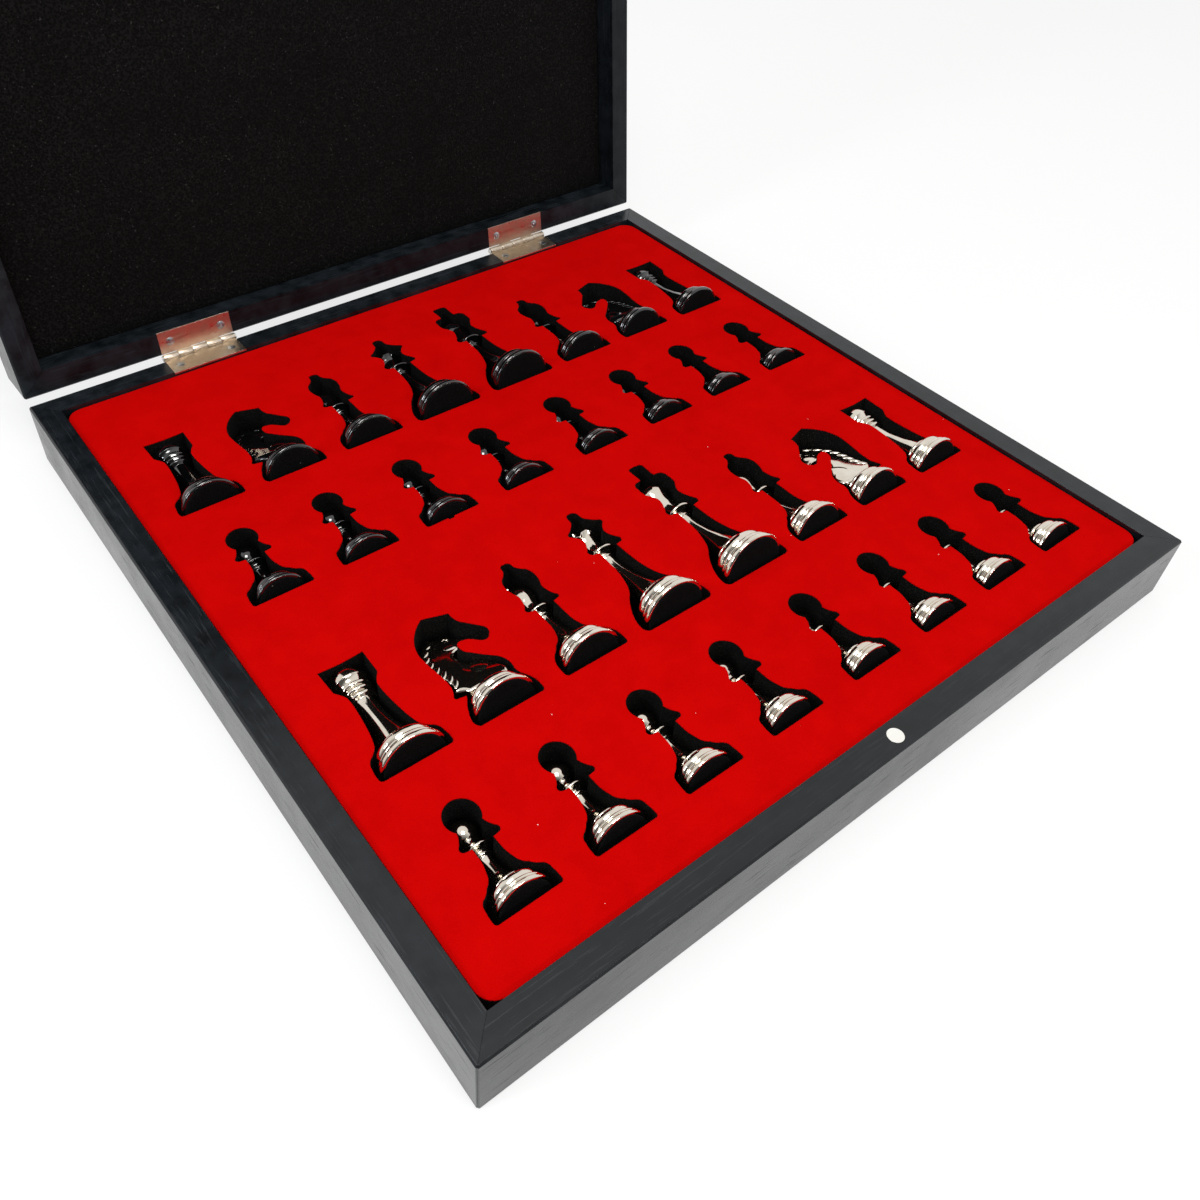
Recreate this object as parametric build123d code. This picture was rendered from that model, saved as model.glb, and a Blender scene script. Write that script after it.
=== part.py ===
from build123d import *
import os
from math import atan2, cos, degrees, hypot, radians, sin, sqrt

os.makedirs("parts", exist_ok=True)

# A flat wooden case for a chess set. Its base holds the 32 men on their sides in a
# flocked foam insert, and a lid swings up on two butt hinges along the back edge.
# Millimetres. +X runs along the front to the right, +Y to the hinge side, +Z up, and
# the origin is the centre of the base's underside. The lid is drawn open, as displayed.

# Wooden frames of the base and the lid
CASE_WIDTH = 400.0
CASE_DEPTH = 400.0
BASE_HEIGHT = 34.0
LID_HEIGHT = 30.0
RAIL = 12.5  # thickness of the rails
PANEL = 4.0  # thickness of the plywood panels
REBATE_WIDTH = 5.0  # how far a panel reaches into its rails
EDGE_BEVEL = 0.8  # broken outer corners of the rails
FIT = 0.2  # clearance round a panel in its rebate

# Lid position and hinge line
OPEN_ANGLE = 97.5  # how far the lid has swung from closed
RIM_GAP = 0.3  # between the two rims when the case is shut
AXIS_BEHIND = 2.1  # hinge axis behind the back face

# Foam fillings
INSERT_RECESS = 2.0  # flocked surface below the base's rim
FLOCK = 0.8  # flocked sheet
POCKET_DEPTH = 20.0  # from the flocked surface to the pocket floor
INSERT_GAP = 0.6  # between the insert and the rails
INSERT_CORNER = 8.0
LINING_RECESS = 13.0  # lid lining below the lid's rim
LINING_GAP = 0.4
LINING_CORNER = 2.0

# Pocket layout
COLUMNS = (23.8, 68.6, 112.0, 155.2)  # pocket centres either side of the middle line
POCKET_SHIFT = 0.7  # the die-cut pattern sits this far right of the centre
DARK_OFFICERS_Y = 80.9  # front edge of each row of pockets
DARK_PAWNS_Y = 10.8
SET_PITCH = 176.6  # from the dark rows to the silver rows
LONG_POCKET_DROP = 0.8  # king and queen pockets start this far further forward
NOTCH_WIDTH = 3.2  # a torn nick at the front of one pawn's pocket
NOTCH_DEPTH = 1.0

# Butt hinges
HINGE_SPREAD = 107.0  # hinge centres either side of the middle line
HINGE_LENGTH = 41.0
LEAF = 1.0  # leaf thickness
LEAF_RECESS = 0.45  # leaf face below the rim
LEAF_SIDE_FIT = 0.15
KNUCKLE_RADIUS = 2.0
PIN_RADIUS = 1.0
PIN_RUNNING_FIT = 0.05
KNUCKLES = 5
KNUCKLE_GAP = 0.15
PIN_HEAD = 0.5
KNUCKLE_SWING = 0.25  # leaf edges stop this far from the other leaf's knuckles

# Domed nails that hold the leaves
NAIL_SPREAD = 14.5  # either side of the hinge's middle
NAIL_RADIUS = 0.8
NAIL_LENGTH = 8.0
NAIL_HEAD_RADIUS = 2.3
NAIL_DOME = 0.4

# Magnetic catch
MAGNET_RADIUS = 3.5
MAGNET_THICKNESS = 3.0

# Chessmen
FELT = 0.8
FELT_MARGIN = 1.3  # felt stops this far inside the base's edge
REST_CLEARANCE = 0.3  # between a man and the pocket floor
FRONT_CLEARANCE = 0.3  # between the felt's lower edge and the pocket's front wall
FOOT_HEIGHT = 1.7  # height of the base's widest edge on a man with a base of MODEL_BASE
MODEL_BASE = 15.0  # radius that the base mouldings are drawn at
PAWN_BASE = 12.6
ROOK_BASE = 15.0
KNIGHT_BASE = 14.9
BISHOP_BASE = 14.9
QUEEN_BASE = 16.6
KING_BASE = 17.1

inner_width = CASE_WIDTH - 2 * RAIL
inner_depth = CASE_DEPTH - 2 * RAIL
flock_top = BASE_HEIGHT - INSERT_RECESS
pocket_floor = flock_top - POCKET_DEPTH
axis_y = CASE_DEPTH / 2 + AXIS_BEHIND
axis_z = BASE_HEIGHT + RIM_GAP / 2
lid_bottom = BASE_HEIGHT + RIM_GAP
lid_top = lid_bottom + LID_HEIGHT
hinge_axis = Axis((0, axis_y, axis_z), (1, 0, 0))


def traced(corners):
    """A face from (x, y, bulge) corners, anticlockwise. A run with a bulge is an arc that
    stands out by that much from its chord, or cuts in where the bulge is negative."""
    runs = []
    for (x0, y0, _), (x1, y1, bulge) in zip(corners[-1:] + corners[:-1], corners):
        start, end = (x0, y0), (x1, y1)
        runs.append(SagittaArc(start, end, -bulge) if bulge else Line(start, end))
    return Face(Wire(runs))


def both_sides(half):
    """A symmetric outline from its right half, which ends on the middle line."""
    left = [(-x, y, after[2]) for (x, y, _), after in zip(half, half[1:])]
    return half + left[::-1]


def mirrored_outline(corners):
    """The same outline facing the other way, still anticlockwise."""
    after = corners[1:] + corners[:1]
    return [(-x, y, follow[2]) for (x, y, _), follow in zip(corners, after)][::-1]


def slab(width, depth, low, high, corner=0.0):
    """A flat block about the middle of the case, between two heights."""
    face = RectangleRounded(width, depth, corner) if corner else Rectangle(width, depth)
    return extrude(Pos(0, 0, low) * face, high - low)


def opened(shape):
    """Turn a closed lid piece about the hinge axis to the displayed angle."""
    return shape.rotate(hinge_axis, -OPEN_ANGLE)


def save(shape, name):
    """Write one node, a single solid or a group of separate ones."""
    solids = shape.solids()
    export_step(solids[0] if len(solids) == 1 else Compound(children=solids), f"parts/{name}.step")


# Four mitred rails with a rebate for the panel
def rail_ring(low, high, panel_low, panel_high):
    """The whole frame before it is cut into four mitred rails."""
    ring = slab(CASE_WIDTH, CASE_DEPTH, low, high)
    ring = chamfer(ring.edges(), EDGE_BEVEL)
    ring -= slab(inner_width, inner_depth, low - 1, high + 1)
    rebate_w = inner_width + 2 * REBATE_WIDTH
    rebate_d = inner_depth + 2 * REBATE_WIDTH
    return ring - slab(rebate_w, rebate_d, panel_low, panel_high)


def mitred(ring, side, low, high):
    """The quarter of the frame on one side: front, right, back or left."""
    reach_x, reach_y = CASE_WIDTH / 2, CASE_DEPTH / 2
    corners = {
        "front": ((-reach_x, -reach_y), (reach_x, -reach_y)),
        "right": ((reach_x, -reach_y), (reach_x, reach_y)),
        "back": ((reach_x, reach_y), (-reach_x, reach_y)),
        "left": ((-reach_x, reach_y), (-reach_x, -reach_y)),
    }[side]
    wedge = Polyline(corners[0], corners[1], (0, 0), close=True)
    return ring & extrude(Pos(0, 0, low - 1) * make_face(wedge), high - low + 2)


def hinge_mortise(middle, low, high):
    """The shallow seat that a hinge leaf lies in."""
    length = HINGE_LENGTH + 2 * LEAF_SIDE_FIT
    seat = Box(length, RAIL + 2, high - low, align=(Align.CENTER, Align.MAX, Align.MIN))
    return Pos(middle, CASE_DEPTH / 2 + 1, low) * seat


SIDES = ("front", "right", "back", "left")
HINGE_MIDDLES = {"left": -HINGE_SPREAD, "right": HINGE_SPREAD}
nail_y = CASE_DEPTH / 2 - RAIL / 2
catch_y = -CASE_DEPTH / 2 + RAIL / 2
base_leaf_top = BASE_HEIGHT - LEAF_RECESS
lid_leaf_bottom = lid_bottom + LEAF_RECESS


def nail_places():
    """Middle points of the two nails in each leaf."""
    return [(m + s * NAIL_SPREAD, nail_y) for m in HINGE_MIDDLES.values() for s in (-1, 1)]


def nail(x, y, face, down):
    """A nail driven down or up through a leaf, with a low domed head on its face."""
    sink = -1 if down else 1
    dome_radius = (NAIL_HEAD_RADIUS**2 + NAIL_DOME**2) / (2 * NAIL_DOME)
    dome = Pos(0, 0, NAIL_DOME - dome_radius) * Sphere(dome_radius)
    keep = Cylinder(NAIL_HEAD_RADIUS, NAIL_DOME, align=(Align.CENTER, Align.CENTER, Align.MIN))
    shank = Cylinder(NAIL_RADIUS, NAIL_LENGTH, align=(Align.CENTER, Align.CENTER, Align.MAX))
    made = (dome & keep) + shank
    turned = made if sink < 0 else made.rotate(Axis.X, 180)
    return Pos(x, y, face) * turned


def nail_hole(x, y, face, down):
    """The hole that the shank fills."""
    align = (Align.CENTER, Align.CENTER, Align.MAX if down else Align.MIN)
    return Pos(x, y, face) * Cylinder(NAIL_RADIUS, NAIL_LENGTH, align=align)


def magnet(face, down):
    """A disc magnet let in flush with the rim."""
    align = (Align.CENTER, Align.CENTER, Align.MAX if down else Align.MIN)
    return Pos(0, catch_y, face) * Cylinder(MAGNET_RADIUS, MAGNET_THICKNESS, align=align)


def base_frame():
    """The four rails of the base, by side."""
    ring = rail_ring(0, BASE_HEIGHT, -1, PANEL)
    rails = {side: mitred(ring, side, 0, BASE_HEIGHT) for side in SIDES}
    floor = base_leaf_top - LEAF
    for middle in HINGE_MIDDLES.values():
        rails["back"] -= hinge_mortise(middle, floor, BASE_HEIGHT + 1)
    for x, y in nail_places():
        rails["back"] -= nail_hole(x, y, base_leaf_top, True)
    rails["front"] -= magnet(BASE_HEIGHT, True)
    return rails


def lid_frame():
    """The four rails of the closed lid, by side."""
    ring = rail_ring(lid_bottom, lid_top, lid_top - PANEL, lid_top + 1)
    rails = {side: mitred(ring, side, lid_bottom, lid_top) for side in SIDES}
    ceiling = lid_leaf_bottom + LEAF
    for middle in HINGE_MIDDLES.values():
        rails["back"] -= hinge_mortise(middle, lid_bottom - 1, ceiling)
    for x, y in nail_places():
        rails["back"] -= nail_hole(x, y, lid_leaf_bottom, False)
    rails["front"] -= magnet(lid_bottom, False)
    return rails


def panel(low):
    """A plywood panel that sits in the rails' rebate."""
    width = inner_width + 2 * REBATE_WIDTH - 2 * FIT
    depth = inner_depth + 2 * REBATE_WIDTH - 2 * FIT
    return slab(width, depth, low, low + PANEL)


# Butt hinges: each leaf is a plate with its own knuckles, and the pin joins them
knuckle_pitch = HINGE_LENGTH / KNUCKLES


def knuckle(index, bore):
    """One rolled tube of the barrel, at its place along the pin."""
    length = knuckle_pitch - KNUCKLE_GAP
    middle = (index + 0.5) * knuckle_pitch - HINGE_LENGTH / 2
    tube = Cylinder(KNUCKLE_RADIUS, length) - Cylinder(bore, length)
    return Pos(middle, axis_y, axis_z) * Rot(0, 90, 0) * tube


def leaf(middle, low, own, bore):
    """A leaf with the knuckles of the given indices."""
    back = CASE_DEPTH / 2
    plate = Box(HINGE_LENGTH, RAIL + AXIS_BEHIND, LEAF, align=(Align.CENTER, Align.MIN, Align.MIN))
    plate = Pos(0, back - RAIL, low) * plate
    swing = KNUCKLE_RADIUS + KNUCKLE_SWING
    for index in range(KNUCKLES):
        place = (index + 0.5) * knuckle_pitch - HINGE_LENGTH / 2
        if index in own:
            plate -= Pos(place, axis_y, axis_z) * Rot(0, 90, 0) * Cylinder(bore, knuckle_pitch)
        else:
            plate -= Pos(place, axis_y, axis_z) * Box(knuckle_pitch + KNUCKLE_GAP, 2 * swing, 4 * swing)
    for index in own:
        plate += knuckle(index, bore)
    for x in (-NAIL_SPREAD, NAIL_SPREAD):
        plate -= Pos(x, nail_y, low + LEAF / 2) * Cylinder(NAIL_RADIUS, 2 * LEAF)
    return Pos(middle, 0, 0) * plate


def hinge_pin(middle):
    """The pin, with a small upset head at each end."""
    pin = Cylinder(PIN_RADIUS, HINGE_LENGTH + 2 * PIN_HEAD)
    for end in (-1, 1):
        head = Cylinder(PIN_RADIUS + PIN_HEAD, PIN_HEAD)
        pin += Pos(0, 0, end * (HINGE_LENGTH + PIN_HEAD) / 2) * head
    return Pos(middle, axis_y, axis_z) * Rot(0, 90, 0) * pin


BASE_KNUCKLES = range(0, KNUCKLES, 2)
LID_KNUCKLES = range(1, KNUCKLES, 2)

# Pocket outlines, from the front edge at y = 0 to the head at the top. Each half runs up
# the right side and ends on the middle line.
PAWN_POCKET = [
    (13.2, 0, 0), (14.4, 1.6, 0.4), (14.0, 6.8, 0.15), (12.2, 10.2, 0.5), (9.0, 13.0, -0.3),
    (5.8, 17.6, -0.6), (4.6, 23.0, -0.2), (4.5, 28.2, 0), (7.4, 28.6, 0), (8.4, 31.0, 0.6),
    (5.4, 36.5, -0.4), (0, 49.1, 4.3),
]
ROOK_POCKET = [
    (14.8, 0, 0), (16.2, 1.8, 0.4), (15.8, 7.0, 0.2), (13.8, 11.4, 0.5), (9.9, 15.2, -0.3),
    (8.8, 19.0, -0.1), (7.6, 26.0, -0.1), (6.6, 36.0, -0.1), (6.7, 41.6, -0.1), (9.8, 46.4, -0.2),
    (10.0, 50.0, 0.1), (10.3, 59.2, 0), (0, 58.6, -0.1),
]
BISHOP_POCKET = [
    (15.0, 0, 0), (16.3, 1.8, 0.4), (16.0, 7.4, 0.2), (13.2, 12.2, 0.4), (9.8, 15.8, -0.2),
    (6.3, 19.8, -0.5), (5.0, 25.5, -0.2), (4.9, 36.6, 0), (7.8, 37.2, 0), (8.7, 39.2, 0.5),
    (6.5, 44.0, -0.4), (6.2, 47.4, -0.2), (7.9, 53.6, 0.3), (6.4, 59.4, 0.5), (3.2, 62.6, -0.2),
    (2.7, 64.6, -0.1), (0, 66.9, 1.0),
]
QUEEN_POCKET = [
    (16.8, 0, 0), (19.3, 3.2, 0.7), (18.4, 8.6, 0.2), (15.6, 14.6, 0.2), (12.2, 19.6, 0.1),
    (9.2, 23.4, -0.2), (7.1, 29.0, -0.2), (5.7, 37.0, -0.2), (5.2, 49.0, -0.1), (8.2, 49.5, 0),
    (9.4, 52.2, 0.5), (6.4, 57.0, -0.2), (6.3, 60.4, -0.2), (9.7, 64.6, -0.3), (9.0, 66.8, 0.5),
    (5.8, 69.2, -0.2), (3.2, 72.2, -0.2), (3.0, 74.4, 0.1), (0, 77.6, 1.1),
]
KING_POCKET = [
    (17.2, 0, 0), (19.5, 3.0, 0.7), (18.6, 8.6, 0.2), (15.8, 14.8, 0.2), (12.3, 20.0, 0.1),
    (9.3, 24.0, -0.2), (7.2, 30.0, -0.2), (5.7, 38.0, -0.2), (5.3, 48.9, -0.1), (8.6, 49.4, 0),
    (9.7, 52.0, 0.5), (6.8, 57.6, -0.2), (6.2, 61.6, -0.2), (9.2, 66.8, -0.3), (9.5, 72.4, 0.3),
    (7.2, 76.5, 0.9), (4.3, 76.8, 0), (4.1, 78.6, 0), (4.3, 84.6, 0), (2.6, 86.6, 0.5), (0, 86.8, 0),
]
KNIGHT_POCKET = [
    (14.9, 0, 0), (16.3, 1.8, 0.4), (16.1, 6.8, 0.2), (13.4, 12.4, 0.3), (12.6, 16.2, -0.2),
    (13.0, 20.0, 0.2), (10.2, 26.0, 0.6), (2.4, 33.6, -0.2), (0.2, 38.0, -0.6), (3.2, 40.4, -1.3),
    (7.0, 38.8, -0.4), (9.8, 36.2, 0), (14.6, 37.0, 1.2), (15.2, 42.2, 1.0), (8.2, 50.4, 0),
    (7.1, 56.6, -0.4), (2.0, 58.2, 0), (-4.3, 60.1, 0.1), (-11.6, 53.6, 0.5), (-15.6, 42.6, 0.9),
    (-14.0, 29.0, 0.2), (-13.9, 22.0, -0.2), (-15.9, 17.4, -0.2), (-15.4, 16.2, 0.2),
    (-11.2, 15.4, 0), (-13.0, 12.4, -0.1), (-15.0, 8.4, 0.2), (-16.3, 4.6, 0.2), (-14.9, 0, 0.8),
]

# Outlines of the men, as (radius, height, bulge) from the foot up


def base_mouldings(radius):
    """The foot ring, a second ring, a full round and a small ring, which every man has."""
    k = radius / MODEL_BASE
    steps = [
        (0, 0, 0), (14.4, 0, 0), (15.0, 0.6, 0.1), (15.0, 1.7, 0), (14.3, 2.4, 0.1),
        (13.5, 2.7, 0), (13.9, 3.1, 0), (13.9, 4.2, 0.25), (13.0, 4.7, 0), (12.6, 5.1, 0),
        (11.0, 9.2, 1.3), (9.4, 9.7, 0), (9.0, 10.2, 0), (8.8, 11.8, 0.55), (7.8, 12.2, 0),
    ]
    return [(r * k, h * k, b * k) for r, h, b in steps]


def ball(radius, centre, neck):
    """The end of an outline: a ball that rises from a neck."""
    below = sqrt(radius**2 - neck**2)
    half_chord = hypot(neck, below + radius) / 2
    bulge = radius - sqrt(radius**2 - half_chord**2)
    return [(neck, centre - below, 0), (0, centre + radius, bulge)]


PAWN = base_mouldings(PAWN_BASE) + [
    (5.9, 10.6, 0), (3.2, 24.2, -1.3), (4.0, 24.6, 0), (4.0, 25.6, 0.3), (3.4, 26.0, 0),
    (6.8, 27.2, -0.4), (6.8, 28.3, 0.35), (4.8, 29.6, -0.3), (4.2, 30.8, 0), (3.4, 31.4, 0),
] + ball(6.1, 38.8, 3.3)
ROOK = base_mouldings(ROOK_BASE) + [
    (7.3, 12.6, 0), (4.8, 38.6, -1.2), (6.2, 39.2, 0), (6.2, 41.0, 0.5), (5.5, 41.4, 0),
    (6.9, 41.9, 0), (6.9, 43.6, 0.5), (6.1, 44.0, 0), (7.5, 44.5, 0), (7.5, 46.2, 0.5),
    (6.8, 46.6, 0), (8.8, 49.4, -0.4), (8.8, 54.6, 0), (6.3, 54.6, 0), (6.3, 50.8, 0), (0, 50.8, 0),
]
BISHOP = base_mouldings(BISHOP_BASE) + [
    (7.2, 12.5, 0), (3.4, 33.0, -1.5), (4.3, 33.4, 0), (4.3, 34.3, 0.3), (3.8, 34.6, 0),
    (7.5, 35.6, -0.4), (7.5, 36.8, 0.35), (5.2, 38.4, -0.4), (4.4, 42.0, -0.2), (4.6, 43.8, 0),
    (6.8, 51.0, 0.5), (2.0, 59.4, 1.1),
] + ball(2.0, 61.3, 1.3)
QUEEN = base_mouldings(QUEEN_BASE) + [
    (8.0, 13.9, 0), (3.9, 45.2, -1.9), (4.5, 45.6, 0), (4.5, 46.6, 0.25), (4.1, 47.0, 0),
    (8.1, 48.0, -0.4), (8.1, 49.2, 0.35), (5.6, 50.9, -0.5), (4.7, 55.6, -0.2), (5.2, 57.4, 0),
    (8.6, 62.4, -0.8), (8.3, 63.6, 0.2), (6.9, 64.0, 0), (4.6, 66.6, 0.3), (2.5, 68.8, -0.2),
] + ball(2.4, 71.4, 1.6)
KING = base_mouldings(KING_BASE) + [
    (8.3, 14.2, 0), (4.0, 45.4, -1.9), (4.6, 45.8, 0), (4.6, 46.8, 0.25), (4.2, 47.2, 0),
    (8.5, 48.2, -0.4), (8.5, 49.5, 0.35), (5.9, 51.3, -0.5), (4.9, 56.8, -0.2), (5.5, 58.6, 0),
    (8.2, 66.8, -0.6), (8.2, 69.2, 0.15), (6.8, 71.6, 0.4), (2.4, 73.8, 0.4), (0, 74.2, 0),
]
KNIGHT_FOOT = base_mouldings(KNIGHT_BASE) + [(7.4, 13.0, 0), (0, 13.0, 0)]
KNIGHT_HEAD = [
    (9.0, 11.0, 0), (10.6, 13.0, 0.2), (11.2, 16.2, 0.1), (8.4, 21.4, 0.5), (1.0, 28.6, -0.2),
    (-1.2, 34.4, -0.5), (1.2, 38.6, -0.9), (5.0, 38.6, -0.6), (8.4, 36.2, -0.2), (11.4, 35.2, 0.3),
    (14.0, 37.4, 0.7), (12.6, 40.2, 0.3), (6.4, 46.8, 0), (5.2, 51.0, -0.3), (-1.8, 52.2, 0),
    (-4.4, 54.4, -0.3), (-6.4, 52.0, 0), (-10.6, 47.4, 0.5), (-14.0, 38.0, 0.8), (-12.8, 26.0, 0.2),
    (-12.4, 19.0, -0.2), (-13.6, 15.2, -0.2), (-9.8, 13.4, 0), (-9.0, 11.0, 0),
]

ROOK_CRENELS = 6
CRENEL_WIDTH = 2.4
CRENEL_FLOOR = 51.9
CORONET_NOTCHES = 8
CORONET_NOTCH_RADIUS = 1.3
CORONET_HEIGHT = 64.4
MITRE_SLOT = 1.2
MITRE_SLOT_HEIGHT = 55.0
MITRE_SLOT_TILT = 38.0
CROSS_THICKNESS = 2.6
KNIGHT_FOOT_THICKNESS = 15.0  # across the chest
KNIGHT_TOP_THICKNESS = 8.0  # across the ears
KNIGHT_EDGE = 0.8  # bevelled edges of the carving


PROFILE_STEPS = [step / 12 for step in range(13)]


def turned(outline):
    """A turned form that lies along +Y with its foot at the origin."""
    return revolve(traced(outline), Axis.Y)


def rook_body():
    body = turned(ROOK)
    length = ROOK[-4][1] - CRENEL_FLOOR + 1
    for turn in range(ROOK_CRENELS // 2):
        slot = Box(4 * ROOK[-4][0], length, CRENEL_WIDTH, align=(Align.CENTER, Align.MIN, Align.CENTER))
        body -= Rot(0, turn * 360 / ROOK_CRENELS, 0) * Pos(0, CRENEL_FLOOR, 0) * slot
    return body


def bishop_body():
    reach = BISHOP[-4][0] * 2
    slot = Box(reach, MITRE_SLOT, 2 * reach, align=(Align.MIN, Align.CENTER, Align.CENTER))
    return turned(BISHOP) - Pos(0, MITRE_SLOT_HEIGHT, 0) * Rot(0, 0, MITRE_SLOT_TILT) * slot


def queen_body():
    body = turned(QUEEN)
    for turn in range(CORONET_NOTCHES):
        notch = Pos(0, CORONET_HEIGHT, 7.6) * Cylinder(CORONET_NOTCH_RADIUS, 4.6)
        body -= Rot(0, (turn + 0.5) * 360 / CORONET_NOTCHES, 0) * notch
    return body


def king_body():
    cross = both_sides([
        (1.7, 73.0, 0), (1.1, 76.6, -0.1), (3.3, 75.9, 0), (3.3, 80.0, 0),
        (1.1, 79.4, 0), (1.9, 82.6, 0), (0, 82.6, 0),
    ])
    return turned(KING) + extrude(traced(cross), CROSS_THICKNESS / 2, both=True)


def knight_half_thickness(height):
    """Half the figure's thickness at a height, as it tapers from the chest to the ears."""
    low, high = KNIGHT_HEAD[0][1], KNIGHT_HEAD[15][1]
    share = (height - low) / (high - low)
    return (KNIGHT_FOOT_THICKNESS + share * (KNIGHT_TOP_THICKNESS - KNIGHT_FOOT_THICKNESS)) / 2


def knight_body(facing):
    head = KNIGHT_HEAD if facing > 0 else mirrored_outline(KNIGHT_HEAD)
    low, high = KNIGHT_HEAD[0][1], KNIGHT_HEAD[15][1] + 1
    figure = extrude(traced(head), KNIGHT_FOOT_THICKNESS, both=True)
    foot_half, top_half = knight_half_thickness(low), knight_half_thickness(high)
    wedge = Polyline((low, -foot_half), (high, -top_half), (high, top_half), (low, foot_half), close=True)
    flanks = extrude(Plane.YZ * make_face(wedge), 2 * KNIGHT_BASE, both=True)
    figure = figure & flanks
    sides = figure.faces().filter_by(lambda face: abs(face.normal_at().Z) > 0.9)
    figure = chamfer(sides.edges(), KNIGHT_EDGE)
    return turned(KNIGHT_FOOT) + figure


MEN = {
    "pawn": (PAWN_POCKET, PAWN, PAWN_BASE, lambda facing: turned(PAWN)),
    "rook": (ROOK_POCKET, ROOK, ROOK_BASE, lambda facing: rook_body()),
    "bishop": (BISHOP_POCKET, BISHOP, BISHOP_BASE, lambda facing: bishop_body()),
    "queen": (QUEEN_POCKET, QUEEN, QUEEN_BASE, lambda facing: queen_body()),
    "king": (KING_POCKET, KING, KING_BASE, lambda facing: king_body()),
    "knight": (KNIGHT_POCKET, KNIGHT_FOOT, KNIGHT_BASE, knight_body),
}


def lean(kind):
    """The angle at which a man lies: foot and head both just clear the pocket floor."""
    _, outline, base, _ = MEN[kind]
    foot = FOOT_HEIGHT * base / MODEL_BASE
    if kind == "knight":
        points = [(knight_half_thickness(h), h) for _, h, _ in KNIGHT_HEAD]
    else:
        edges = traced(outline).edges()
        points = [(p.X, p.Y) for edge in edges for p in edge.positions(PROFILE_STEPS)]
    return degrees(min(atan2(base - r, h - foot) for r, h in points if h > base))


def laid(shape, kind, x, front):
    """Lay a man in the pocket whose front edge is at this place."""
    base = MEN[kind][2]
    angle = radians(lean(kind))
    foot = FOOT_HEIGHT * base / MODEL_BASE
    back_off = FRONT_CLEARANCE + FELT * cos(angle) + (base - FELT_MARGIN) * sin(angle)
    rise = base * cos(angle) + foot * sin(angle)
    placed = shape.rotate(Axis.X, -degrees(angle))
    return Pos(x, front + back_off, pocket_floor + REST_CLEARANCE + rise) * placed


def felt_disc(base):
    """The felt glued under a man's foot."""
    disc = Cylinder(base - FELT_MARGIN, FELT, align=(Align.CENTER, Align.CENTER, Align.MIN))
    return disc.rotate(Axis.X, 90)


def places():
    """(name, kind, x, front edge, facing) of all 32 men, row by row."""
    rows = []
    for set_name, shift in (("black", 0), ("silver", -SET_PITCH)):
        for index in range(8):
            side = -1 if index < 4 else 1
            column = COLUMNS[3 - index] if index < 4 else COLUMNS[index - 4]
            x = POCKET_SHIFT + side * column
            kind = ("rook", "knight", "bishop", "queen", "king", "bishop", "knight", "rook")[index]
            drop = LONG_POCKET_DROP if kind in ("king", "queen") else 0
            hand = "" if kind in ("king", "queen") else ("_left" if side < 0 else "_right")
            rows.append((f"{set_name}_{kind}{hand}", kind, x, DARK_OFFICERS_Y + shift - drop, -side))
            rows.append((f"{set_name}_pawn_{index + 1}", "pawn", x, DARK_PAWNS_Y + shift, -side))
    return rows


def pocket_faces():
    """All pocket outlines in plan, with the nick in one of them."""
    faces = []
    for name, kind, x, front, facing in places():
        outline = MEN[kind][0]
        if kind == "knight":
            corners = outline if facing > 0 else mirrored_outline(outline)
        else:
            corners = both_sides(outline)
        faces.append(Pos(x, front, 0) * traced(corners))
        if name == "black_pawn_3":
            nick = Rectangle(NOTCH_WIDTH, 2 * NOTCH_DEPTH)
            faces.append(Pos(x - NOTCH_WIDTH / 2, front, 0) * nick)
    return faces


def pocketed(low, high):
    """The insert's plan between two heights, with the pockets cut through."""
    width, depth = inner_width - 2 * INSERT_GAP, inner_depth - 2 * INSERT_GAP
    block = slab(width, depth, low, high, INSERT_CORNER)
    cutters = [extrude(Pos(0, 0, low - 1) * face, high - low + 2) for face in pocket_faces()]
    return block - cutters


def quarters(block):
    """The insert in four quarters, parted down the middle and between the two sets, by place."""
    silver_tops = DARK_OFFICERS_Y - SET_PITCH - LONG_POCKET_DROP + KING_POCKET[-1][1]
    seam_y = (DARK_PAWNS_Y + silver_tops) / 2
    made = {}
    for row, align_y in (("front", Align.MAX), ("back", Align.MIN)):
        for side, align_x in (("left", Align.MAX), ("right", Align.MIN)):
            keep = Box(CASE_WIDTH, CASE_DEPTH, BASE_HEIGHT, align=(align_x, align_y, Align.MIN))
            made[f"{row}_{side}"] = block & Pos(POCKET_SHIFT, seam_y, 0) * keep
    return made


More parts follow.
